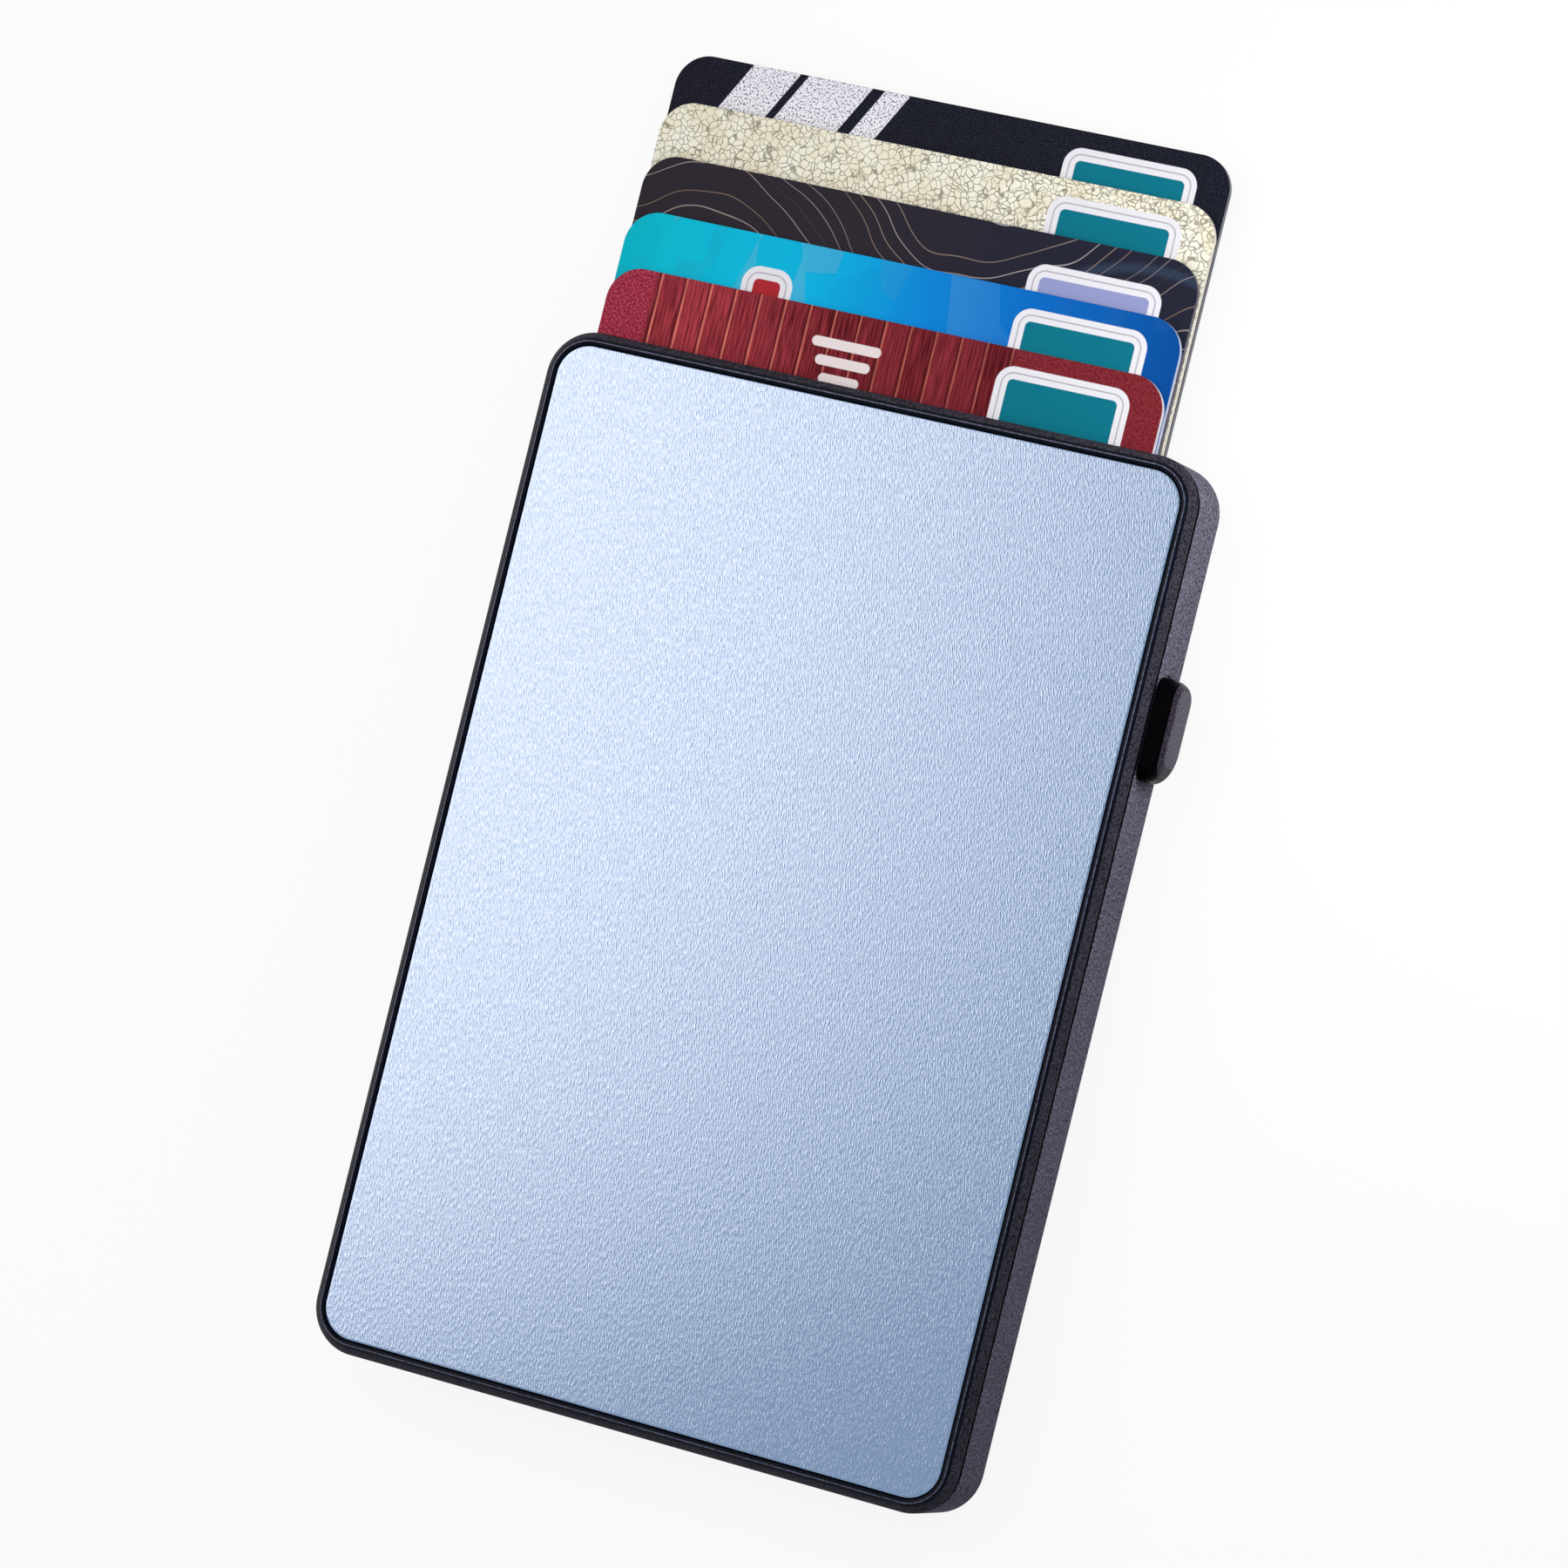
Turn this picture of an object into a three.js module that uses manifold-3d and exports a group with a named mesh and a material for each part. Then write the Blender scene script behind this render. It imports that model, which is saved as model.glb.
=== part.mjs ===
// Pop-up card holder: a slim two-shell case whose side button works a slide and a stepped lever,
// which lifts five cards out of the mouth in a fan. Millimetres, +Z up.
// The case lies on its back: X runs across it, Y along it towards the mouth, Z from back to front.
// The origin is the centre of the back face, and the cards are drawn fanned out.
import * as THREE from "three";
import { mergeVertices } from "three/addons/utils/BufferGeometryUtils.js";
import Module from "manifold-3d";

const wasm = await Module();
wasm.setup();

// Cards of the standard size, front one first, with how far each stands out of the mouth
const CARD_WIDTH = 53.98;
const CARD_LENGTH = 85.6;
const CARD_THICK = 0.76;
const CARD_CORNER = 3.18;
const CARD_GAP = 0.14;
const CARD_NAMES = ["red_card", "blue_card", "line_card", "gold_card", "black_card"];
const CARD_COLOURS = [0x8e2430, 0x1387b8, 0x23222c, 0xcfc08a, 0x14161c];
const CARD_LIFTS = [6.6, 12, 17.4, 22.6, 27.2];
const CLOSED_RECESS = 1;

// Case around the cards
const SIDE_WALL = 1;
const BACK_WALL = 1;
const CASE_CORNER = 4.4;
const BACK_CHAMFER = 0.4;
const PARTING_GAP = 0.25;
const BAY_CLEARANCE = 0.34;
const BAY_BACK_SPACE = 0.84;
const BAY_FRONT_SPACE = 0.3;
const LEFT_GUIDE_WIDTH = 1.95;
const LEFT_GUIDE_START = 11;
const RIGHT_GUIDE_WEB = 0.5;
const RIGHT_GUIDE_FLANGE = 0.5;
const RIGHT_GUIDE_FROM_PIVOT = 16;
const SLIDE_CHANNEL = 4.34;

// Front cover, its rim and the panel set into it
const COVER_FLANGE = 1.25;
const COVER_PLATE = 1;
const COVER_CLEARANCE = 0.2;
const RIM_EDGE = 0.2;
const RIM_CREST = 0.9;
const RIM_FALL = 0.14;
const RIM_WIDTH = 1.25;
const RIM_STEPS = 4;
const PANEL_THICK = 0.7;
const PANEL_SUNK = 0.1;
const PANEL_GAP = 0.1;
const PANEL_BEVEL = 0.12;
const TAPE_THICK = 0.1;
const TAPE_INSET = 1.2;
const HOOK_LENGTH = 6;
const HOOK_DROP = 1;
const HOOK_REACH = 0.5;
const HOOK_PLACES = [-12, 24];

// Felt pads at the mouth
const PAD_LENGTH = 44;
const PAD_WIDTH = 7;
const PAD_FROM_MOUTH = 4.5;
const PAD_THICK = 0.6;
const PAD_PROUD = 0.1;

// Side button and the slot it covers
const BUTTON_LENGTH = 9.35;
const BUTTON_WIDTH = 4.6;
const BUTTON_PROUD = 2.3;
const BUTTON_CORNER = 1.5;
const BUTTON_FROM_TOP = 23.4;
const BUTTON_FRONT_SETBACK = 0.1;
const BUTTON_WALL_GAP = 0.15;
const BUTTON_UPPER_ROUND = 1.2;
const BUTTON_LOWER_ROUND = 2.5;
const BUTTON_ROUND_DEPTH = 1.6;
const BUTTON_SIDE_BEVEL = 0.4;
const BUTTON_STEPS = 4;
const BUTTON_TRAVEL = 5.5;
const SLOT_SHOWING = 0.25;
const SLOT_WIDTH = 1.2;
const SLOT_BEHIND_MIDDLE = 1;

// Sheet-metal slide and the studs that guide it
const TAB_LENGTH = 2.2;
const TAB_THICK = 0.7;
const TAB_FROM_BUTTON_TOP = 1;
const TAB_IN_BUTTON = 1.2;
const TAB_CLEARANCE = 0.15;
const SLIDE_THICK = 0.45;
const SLIDE_FLOAT = 0.1;
const SLIDE_WIDTH = 3.6;
const SLIDE_WALL_GAP = 0.35;
const SLIDE_HEAD = 3;
const TONGUE_WIDTH = 4;
const TONGUE_ABOVE_PIN = 2.7;
const FINGER_WIDTH = 3;
const STUD_RADIUS = 0.75;
const STUD_HEAD_RADIUS = 1.5;
const STUD_HEAD_THICK = 0.5;
const STUD_BELOW_TAB = 15;
const STUD_ABOVE_TONGUE = 6;

// Stepped lever, its pivot and the pin that drives it
const LEVER_TIP_HALF = 1.6;
const LEVER_LOWER_HALF = 1.3;
const LEVER_HUB_RADIUS = 2.5;
const LEVER_SLOT_WALL = 1;
const LEVER_TIP_CLEARANCE = 0.25;
const LEVER_WALL_SPACE = 7.44;
const LEVER_FLOOR_SPACE = 2.29;
const PIVOT_FROM_CARD = 0.7;
const PIVOT_RADIUS = 1;
const PIVOT_BOSS_RADIUS = 2.3;
const PIVOT_BOSS_HEIGHT = 0.4;
const PIVOT_SOCKET = 0.5;
const WASHER_THICK = 0.25;
const DRIVE_PIN_RADIUS = 0.8;
const DRIVE_PIN_HEIGHT = 3.4;
const DRIVE_SLOT_PLAY = 0.55;

// Screws between the tray and the cover
const SCREW_RADIUS = 0.55;
const SCREW_HEAD_RADIUS = 1;
const SCREW_HEAD_THICK = 0.3;
const SCREW_RECESS_DEPTH = 0.15;
const SCREW_RECESS_WIDTH = 0.3;
const SCREW_RECESS_LENGTH = 1.4;
const SCREW_BOSS_RADIUS = 1.3;
const SCREW_BITE = 4;
const SCREW_WALL_GAP = 0.3;
const SCREW_WEB = 1.2;
const SCREW_FROM_LEFT = 6.5;
const SCREW_FROM_PIVOT = 20.5;
const SCREW_CORNER_INSET = 2.6;

// Fits, and the fineness of round shapes
const SEAT_GAP = 0.05;
const HOLE_CLEARANCE = 0.2;
const RUNNING_GAP = 0.2;
const BLIND_FLOOR = 0.4;
const CUT_OVER = 1;
const CORNER_STEPS = 8;
const ROUND_STEPS = 24;

// Across the case: left guide, cards, slide channel
const cardsAcross = LEFT_GUIDE_WIDTH + SEAT_GAP + CARD_WIDTH + 2 * BAY_CLEARANCE;
const innerX = (cardsAcross + SLIDE_CHANNEL) / 2;
const halfWidth = innerX + SIDE_WALL;
const mouthLeft = -innerX + LEFT_GUIDE_WIDTH + SEAT_GAP;
const mouthRight = -innerX + cardsAcross;
const cardMidX = (mouthLeft + mouthRight) / 2;
const pivotX = mouthRight - BAY_CLEARANCE + PIVOT_FROM_CARD;
const slideRight = innerX - SLIDE_WALL_GAP;
const slideLeft = slideRight - SLIDE_WIDTH;
const slideMidX = (slideLeft + slideRight) / 2;

// Swing of the lever: the rear card has the longest arm, and the others share its angle
const cardTravels = CARD_LIFTS.map((lift) => lift + CLOSED_RECESS);
const longestReach = pivotX + innerX - LEVER_TIP_HALF - LEVER_WALL_SPACE;
const liftAngle = Math.asin(Math.max(...cardTravels) / longestReach);
const armReaches = cardTravels.map((travel) => travel / Math.sin(liftAngle));
// Lever and cards keep a steady ratio, so half way the arms run ahead of the cards by this angle.
const leadAngle = liftAngle / 2 - Math.asin(Math.sin(liftAngle) / 2);
const armHalf = (reach) => LEVER_TIP_HALF + leadAngle * (longestReach - reach);

// Along the case: mouth, cards, lever
const pivotBelowCards = LEVER_TIP_CLEARANCE + armHalf(0);
const leverBay = pivotBelowCards + LEVER_HUB_RADIUS + LEVER_FLOOR_SPACE + SIDE_WALL;
const halfLength = (CLOSED_RECESS + CARD_LENGTH + leverBay) / 2;
const innerY = halfLength - SIDE_WALL;
const pivotY = halfLength - CLOSED_RECESS - CARD_LENGTH - pivotBelowCards;
const drivePinX = pivotX - BUTTON_TRAVEL / Math.tan(liftAngle);
const drivePinY = pivotY + BUTTON_TRAVEL;
const tongueBottom = drivePinY + TONGUE_ABOVE_PIN;
const tongueTop = tongueBottom + TONGUE_WIDTH;
const buttonMidY = halfLength - BUTTON_FROM_TOP;
const buttonTop = buttonMidY + BUTTON_LENGTH / 2;
const tabTop = buttonTop - TAB_FROM_BUTTON_TOP;
const tabBottom = tabTop - TAB_LENGTH;
const upperStudY = tabBottom - STUD_BELOW_TAB;
const lowerStudY = tongueTop + STUD_ABOVE_TONGUE;
const padMidY = halfLength - PAD_FROM_MOUTH - PAD_WIDTH / 2;
const screwRowY = -innerY + SCREW_BOSS_RADIUS + SCREW_WALL_GAP;
const screwPlaces = [
  [-innerX + SCREW_FROM_LEFT, screwRowY],
  [pivotX - SCREW_FROM_PIVOT, screwRowY],
  [innerX - SCREW_CORNER_INSET, innerY - SCREW_CORNER_INSET],
];

// Through the case: tray, cards, cover, panel
const cardPitch = CARD_THICK + CARD_GAP;
const stackBack = BACK_WALL + BAY_BACK_SPACE;
const cardBacks = CARD_NAMES.map((_, k) => stackBack + (CARD_NAMES.length - 1 - k) * cardPitch);
const stackFront = cardBacks[0] + CARD_THICK;
const coverUnder = stackFront + BAY_FRONT_SPACE;
const recessFloor = coverUnder + COVER_PLATE;
const tapeBack = recessFloor + SEAT_GAP;
const panelBack = tapeBack + TAPE_THICK + SEAT_GAP;
const panelFront = panelBack + PANEL_THICK;
const caseFront = panelFront + PANEL_SUNK;
const flangeBack = caseFront - COVER_FLANGE;
const wallTop = flangeBack - PARTING_GAP;
const guideTop = coverUnder - SEAT_GAP;
const slideBack = BACK_WALL + SLIDE_FLOAT;
const slideFront = slideBack + SLIDE_THICK;
const buttonMidZ = wallTop - BUTTON_FRONT_SETBACK - BUTTON_WIDTH / 2;
const slotMidZ = buttonMidZ - SLOT_BEHIND_MIDDLE;
const screwBossTop = coverUnder - 2 * SEAT_GAP;
const screwHeadTop = recessFloor - SEAT_GAP;
const screwHeadSeat = screwHeadTop - SCREW_HEAD_THICK;

// Closed solid from a geometry, with its shared corners merged.
function solid(geometry) {
  const bare = geometry.clone();
  bare.deleteAttribute("normal");
  bare.deleteAttribute("uv");
  const merged = mergeVertices(bare, 1e-4);
  return new wasm.Manifold(
    new wasm.Mesh({
      numProp: 3,
      vertProperties: new Float32Array(merged.attributes.position.array),
      triVerts: new Uint32Array(merged.index.array),
    }),
  );
}

// Named mesh of a solid, in its own finish.
function piece(name, body, color, roughness, metalness) {
  const { vertProperties, triVerts } = body.getMesh();
  const geometry = new THREE.BufferGeometry();
  geometry.setAttribute("position", new THREE.BufferAttribute(new Float32Array(vertProperties), 3));
  geometry.setIndex(new THREE.BufferAttribute(new Uint32Array(triVerts), 1));
  geometry.computeVertexNormals();
  const mesh = new THREE.Mesh(geometry, new THREE.MeshStandardMaterial({ color, roughness, metalness }));
  mesh.name = name;
  return mesh;
}

// Box between two opposite corners.
function box(x0, y0, z0, x1, y1, z1) {
  const geometry = new THREE.BoxGeometry(x1 - x0, y1 - y0, z1 - z0);
  geometry.translate((x0 + x1) / 2, (y0 + y1) / 2, (z0 + z1) / 2);
  return solid(geometry);
}

// Round bar along Z.
function rod(radius, z0, z1, x = 0, y = 0) {
  const geometry = new THREE.CylinderGeometry(radius, radius, z1 - z0, ROUND_STEPS);
  geometry.rotateX(Math.PI / 2);
  geometry.translate(x, y, (z0 + z1) / 2);
  return solid(geometry);
}

// Flat outline pushed up from z0 to z1.
function slab(shape, z0, z1) {
  const geometry = new THREE.ExtrudeGeometry(shape, {
    depth: z1 - z0,
    bevelEnabled: false,
    curveSegments: CORNER_STEPS,
  });
  geometry.translate(0, 0, z0);
  return solid(geometry);
}

// Outline with round ends about two centres.
function stadium(x0, y0, x1, y1, radius) {
  const along = Math.atan2(y1 - y0, x1 - x0);
  const shape = new THREE.Shape();
  shape.absarc(x1, y1, radius, along - Math.PI / 2, along + Math.PI / 2, false);
  shape.absarc(x0, y0, radius, along + Math.PI / 2, along + 1.5 * Math.PI, false);
  shape.closePath();
  return shape;
}

// Points of a rectangle with round corners, anticlockwise about its centre.
function roundedLoop(halfX, halfY, corner) {
  const points = [];
  const centres = [
    [halfX - corner, halfY - corner],
    [corner - halfX, halfY - corner],
    [corner - halfX, corner - halfY],
    [halfX - corner, corner - halfY],
  ];
  centres.forEach(([x, y], quarter) => {
    for (let step = 0; step <= CORNER_STEPS; step += 1) {
      const angle = (Math.PI / 2) * (quarter + step / CORNER_STEPS);
      points.push(new THREE.Vector2(x + corner * Math.cos(angle), y + corner * Math.sin(angle)));
    }
  });
  return points;
}

// Closed skin over loops of equal length, with a fan of triangles at each end.
function loft(loops) {
  const count = loops[0].length;
  const positions = [];
  const index = [];
  loops.forEach((loop) => loop.forEach((point) => positions.push(point.x, point.y, point.z)));
  for (let row = 0; row + 1 < loops.length; row += 1) {
    for (let k = 0; k < count; k += 1) {
      const a = row * count + k;
      const b = row * count + ((k + 1) % count);
      index.push(a, b, b + count, a, b + count, a + count);
    }
  }
  [0, loops.length - 1].forEach((row) => {
    const centre = new THREE.Vector3();
    loops[row].forEach((point) => centre.add(point));
    centre.divideScalar(count);
    const hub = positions.length / 3;
    positions.push(centre.x, centre.y, centre.z);
    for (let k = 0; k < count; k += 1) {
      const a = row * count + k;
      const b = row * count + ((k + 1) % count);
      index.push(...(row === 0 ? [hub, b, a] : [hub, a, b]));
    }
  });
  const geometry = new THREE.BufferGeometry();
  geometry.setAttribute("position", new THREE.Float32BufferAttribute(positions, 3));
  geometry.setIndex(index);
  return solid(geometry);
}

// Plate of the case's outline, drawn in by an inset at each height.
function casePlate(steps) {
  return loft(
    steps.map(([inset, z]) =>
      roundedLoop(halfWidth - inset, halfLength - inset, CASE_CORNER - inset).map(
        (point) => new THREE.Vector3(point.x, point.y, z),
      ),
    ),
  );
}

// Tray with the back wall, the side walls, the mouth, the button slot and the bosses.
function makeRearBody() {
  const outside = casePlate([
    [BACK_CHAMFER, 0],
    [0, BACK_CHAMFER],
    [0, wallTop],
  ]);
  const inside = casePlate([
    [SIDE_WALL, BACK_WALL],
    [SIDE_WALL, wallTop + CUT_OVER],
  ]);
  const mouthEnd = halfLength + CUT_OVER;
  const mouth = box(mouthLeft, innerY - CUT_OVER, BACK_WALL, mouthRight, mouthEnd, wallTop + CUT_OVER);
  const slot = box(
    innerX - CUT_OVER,
    tabBottom - BUTTON_TRAVEL - RUNNING_GAP,
    slotMidZ - SLOT_WIDTH / 2,
    halfWidth + CUT_OVER,
    buttonTop + SLOT_SHOWING,
    slotMidZ + SLOT_WIDTH / 2,
  );
  let body = outside.subtract(inside).subtract(mouth).subtract(slot);
  HOOK_PLACES.forEach((y) => {
    const pocket = box(
      -innerX - HOOK_REACH - HOLE_CLEARANCE,
      y - HOOK_LENGTH / 2 - HOLE_CLEARANCE,
      coverUnder - HOOK_DROP - HOLE_CLEARANCE,
      -innerX + CUT_OVER,
      y + HOOK_LENGTH / 2 + HOLE_CLEARANCE,
      coverUnder + HOLE_CLEARANCE,
    );
    body = body.subtract(pocket);
  });
  const bossRoot = BACK_WALL / 2;
  const pivotBossTop = BACK_WALL + PIVOT_BOSS_HEIGHT;
  body = body.add(rod(PIVOT_BOSS_RADIUS, bossRoot, pivotBossTop, pivotX, pivotY));
  body = body.subtract(
    rod(PIVOT_RADIUS + HOLE_CLEARANCE, BLIND_FLOOR, pivotBossTop + CUT_OVER, pivotX, pivotY),
  );
  [upperStudY, lowerStudY].forEach((y) => {
    body = body.subtract(rod(STUD_RADIUS + HOLE_CLEARANCE, BLIND_FLOOR, BACK_WALL + CUT_OVER, slideMidX, y));
  });
  screwPlaces.forEach(([x, y]) => {
    const wallY = Math.sign(y) * (innerY + SIDE_WALL / 2);
    const web = box(
      x - SCREW_WEB / 2,
      Math.min(y, wallY),
      bossRoot,
      x + SCREW_WEB / 2,
      Math.max(y, wallY),
      screwBossTop,
    );
    const holeFloor = screwBossTop - SCREW_BITE - SEAT_GAP;
    body = body.add(rod(SCREW_BOSS_RADIUS, bossRoot, screwBossTop, x, y)).add(web);
    body = body.subtract(rod(SCREW_RADIUS + HOLE_CLEARANCE, holeFloor, screwBossTop + CUT_OVER, x, y));
  });
  return piece("rear_body", body, 0x5f5a66, 0.5, 0.5);
}

// Lid: a plate between the walls, a flange over them, a rounded rim around the panel and two hooks.
function makeFrontCover() {
  const plateInset = SIDE_WALL + COVER_CLEARANCE;
  const steps = [
    [plateInset, coverUnder],
    [plateInset, flangeBack],
    [0, flangeBack],
  ];
  const rimStart = flangeBack + RIM_EDGE;
  for (let step = 0; step <= RIM_STEPS; step += 1) {
    const angle = (Math.PI / 2) * (step / RIM_STEPS);
    steps.push([RIM_CREST * (1 - Math.cos(angle)), rimStart + (caseFront - rimStart) * Math.sin(angle)]);
  }
  steps.push([RIM_WIDTH, caseFront - RIM_FALL], [RIM_WIDTH, recessFloor]);
  let cover = casePlate(steps);
  HOOK_PLACES.forEach((y) => {
    const low = y - HOOK_LENGTH / 2;
    const high = y + HOOK_LENGTH / 2;
    const hookBack = coverUnder - HOOK_DROP;
    const hookRight = -innerX + plateInset;
    const toe = box(-innerX - HOOK_REACH, low, hookBack, hookRight, high, coverUnder);
    const root = box(-innerX + COVER_CLEARANCE, low, hookBack, hookRight, high, coverUnder + COVER_PLATE / 2);
    cover = cover.add(toe.add(root));
  });
  screwPlaces.forEach(([x, y]) => {
    const headHole = SCREW_HEAD_RADIUS + HOLE_CLEARANCE;
    cover = cover.subtract(rod(SCREW_RADIUS + HOLE_CLEARANCE, coverUnder - CUT_OVER, recessFloor, x, y));
    cover = cover.subtract(rod(headHole, screwHeadSeat - SEAT_GAP, recessFloor + SEAT_GAP, x, y));
  });
  cover = cover.subtract(
    rod(PIVOT_RADIUS + HOLE_CLEARANCE, coverUnder - CUT_OVER, coverUnder + PIVOT_SOCKET, pivotX, pivotY),
  );
  const padPocket = box(
    cardMidX - PAD_LENGTH / 2 - HOLE_CLEARANCE,
    padMidY - PAD_WIDTH / 2 - HOLE_CLEARANCE,
    coverUnder - CUT_OVER,
    cardMidX + PAD_LENGTH / 2 + HOLE_CLEARANCE,
    padMidY + PAD_WIDTH / 2 + HOLE_CLEARANCE,
    coverUnder + PAD_THICK - PAD_PROUD + SEAT_GAP,
  );
  return piece("front_cover", cover.subtract(padPocket), 0x141418, 0.35, 0);
}

// Metal plate with a small bevel, set inside the rim.
function makePanel() {
  const inset = RIM_WIDTH + PANEL_GAP;
  const plate = casePlate([
    [inset, panelBack],
    [inset, panelFront - PANEL_BEVEL],
    [inset + PANEL_BEVEL, panelFront],
  ]);
  return piece("front_panel", plate, 0xa9bfdc, 0.42, 1);
}

// Adhesive sheet under the panel.
function makeTape() {
  const inset = RIM_WIDTH + PANEL_GAP + TAPE_INSET;
  const sheet = casePlate([
    [inset, tapeBack],
    [inset, tapeBack + TAPE_THICK],
  ]);
  return piece("panel_tape", sheet, 0xe8e4da, 0.9, 0);
}

// Strip along the left wall that guides the card edges, notched around the cover's hooks.
function makeLeftGuide() {
  const bottom = -halfLength + LEFT_GUIDE_START;
  const top = halfLength - CASE_CORNER;
  let strip = box(-innerX + SEAT_GAP, bottom, BACK_WALL + SEAT_GAP, mouthLeft, top, guideTop);
  HOOK_PLACES.forEach((y) => {
    const notch = box(
      -innerX - CUT_OVER,
      y - HOOK_LENGTH / 2 - HOLE_CLEARANCE,
      coverUnder - HOOK_DROP - HOLE_CLEARANCE,
      -innerX + SIDE_WALL + COVER_CLEARANCE + HOLE_CLEARANCE,
      y + HOOK_LENGTH / 2 + HOLE_CLEARANCE,
      coverUnder,
    );
    strip = strip.subtract(notch);
  });
  return piece("left_card_guide", strip, 0x1d1d20, 0.6, 0);
}

// Thin angle that hangs from the cover, guides the right card edges and parts off the slide.
function makeRightGuide() {
  const bottom = pivotY + RIGHT_GUIDE_FROM_PIVOT;
  const top = innerY - SCREW_CORNER_INSET - SCREW_BOSS_RADIUS - SCREW_WALL_GAP;
  const webBack = slideFront + 2 * RUNNING_GAP;
  const web = box(mouthRight, bottom, webBack, mouthRight + RIGHT_GUIDE_WEB, top, guideTop);
  const flange = box(mouthRight, bottom, guideTop - RIGHT_GUIDE_FLANGE, slideRight, top, guideTop);
  return piece("right_card_guide", web.add(flange), 0x1d1d20, 0.6, 0);
}

// Felt strips behind and in front of the cards at the mouth.
function makePads() {
  const strip = box(-PAD_LENGTH / 2, -PAD_WIDTH / 2, 0, PAD_LENGTH / 2, PAD_WIDTH / 2, PAD_THICK);
  const places = [
    ["rear_felt_pad", BACK_WALL + SEAT_GAP],
    ["front_felt_pad", coverUnder - PAD_PROUD],
  ];
  return places.map(([name, z]) => {
    const pad = piece(name, strip, 0x3a3a3e, 1, 0);
    pad.position.set(cardMidX, padMidY, z);
    return pad;
  });
}

// Flat-head screws with a cross recess, under the panel.
function makeScrews() {
  const long = SCREW_RECESS_LENGTH / 2;
  const half = SCREW_RECESS_WIDTH / 2;
  const recessBack = screwHeadTop - SCREW_RECESS_DEPTH;
  const shank = rod(SCREW_RADIUS, screwBossTop - SCREW_BITE, screwHeadTop - SCREW_HEAD_THICK / 2);
  const screw = shank
    .add(rod(SCREW_HEAD_RADIUS, screwHeadSeat, screwHeadTop))
    .subtract(box(-long, -half, recessBack, long, half, screwHeadTop + CUT_OVER))
    .subtract(box(-half, -long, recessBack, half, long, screwHeadTop + CUT_OVER));
  return screwPlaces.map(([x, y], k) => {
    const mesh = piece(`cover_screw_${k + 1}`, screw, 0x8d9096, 0.35, 1);
    mesh.position.set(x, y, 0);
    return mesh;
  });
}

// Headed studs in the back wall, which guide the slide by its two slots and hold it down.
function makeStuds() {
  const headBack = slideFront + SLIDE_FLOAT;
  const shank = rod(STUD_RADIUS, BLIND_FLOOR + SEAT_GAP, headBack + STUD_HEAD_THICK / 2);
  const stud = shank.add(rod(STUD_HEAD_RADIUS, headBack, headBack + STUD_HEAD_THICK));
  const places = [
    ["upper_guide_stud", upperStudY],
    ["lower_guide_stud", lowerStudY],
  ];
  return places.map(([name, y]) => {
    const mesh = piece(name, stud, 0xc2a765, 0.35, 1);
    mesh.position.set(slideMidX, y, 0);
    return mesh;
  });
}

// Sheet-metal slide: a slotted leg, a tongue with a finger for the drive pin, and a bent tab.
function makeSlidePlate() {
  const fingerLeft = drivePinX - FINGER_WIDTH / 2;
  const fingerRight = drivePinX + FINGER_WIDTH / 2;
  const outline = new THREE.Shape();
  outline.moveTo(slideRight, tongueBottom);
  outline.lineTo(slideRight, tabTop + SLIDE_HEAD);
  outline.lineTo(slideLeft, tabTop + SLIDE_HEAD);
  outline.lineTo(slideLeft, tongueTop);
  outline.lineTo(fingerLeft, tongueTop);
  outline.lineTo(fingerLeft, drivePinY);
  outline.absarc(drivePinX, drivePinY, FINGER_WIDTH / 2, Math.PI, 2 * Math.PI, false);
  outline.lineTo(fingerRight, tongueBottom);
  outline.closePath();
  let plate = slab(outline, slideBack, slideFront);
  [upperStudY, lowerStudY].forEach((y) => {
    const run = stadium(slideMidX, y, slideMidX, y + BUTTON_TRAVEL, STUD_RADIUS + RUNNING_GAP);
    plate = plate.subtract(slab(run, slideBack - CUT_OVER, slideFront + CUT_OVER));
  });
  const pinHole = DRIVE_PIN_RADIUS + SEAT_GAP;
  plate = plate.subtract(rod(pinHole, slideBack - CUT_OVER, slideFront + CUT_OVER, drivePinX, drivePinY));
  const tabEnd = halfWidth + BUTTON_WALL_GAP + TAB_IN_BUTTON;
  const tabBack = slotMidZ - TAB_THICK / 2;
  const tabFront = slotMidZ + TAB_THICK / 2;
  const riser = box(slideRight - TAB_THICK, tabBottom, slideBack, slideRight, tabTop, tabFront);
  const tab = box(slideRight - TAB_THICK, tabBottom, tabBack, tabEnd, tabTop, tabFront);
  return piece("slider_plate", plate.add(riser).add(tab), 0xb9bcc2, 0.35, 1);
}

// Pin riveted in the slide's finger, which works in the lever's slot.
function makeDrivePin() {
  const pin = piece("drive_pin", rod(DRIVE_PIN_RADIUS, 0, SLIDE_THICK + DRIVE_PIN_HEIGHT), 0xc9ccd2, 0.3, 1);
  pin.position.set(drivePinX, drivePinY, slideBack);
  return pin;
}

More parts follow.
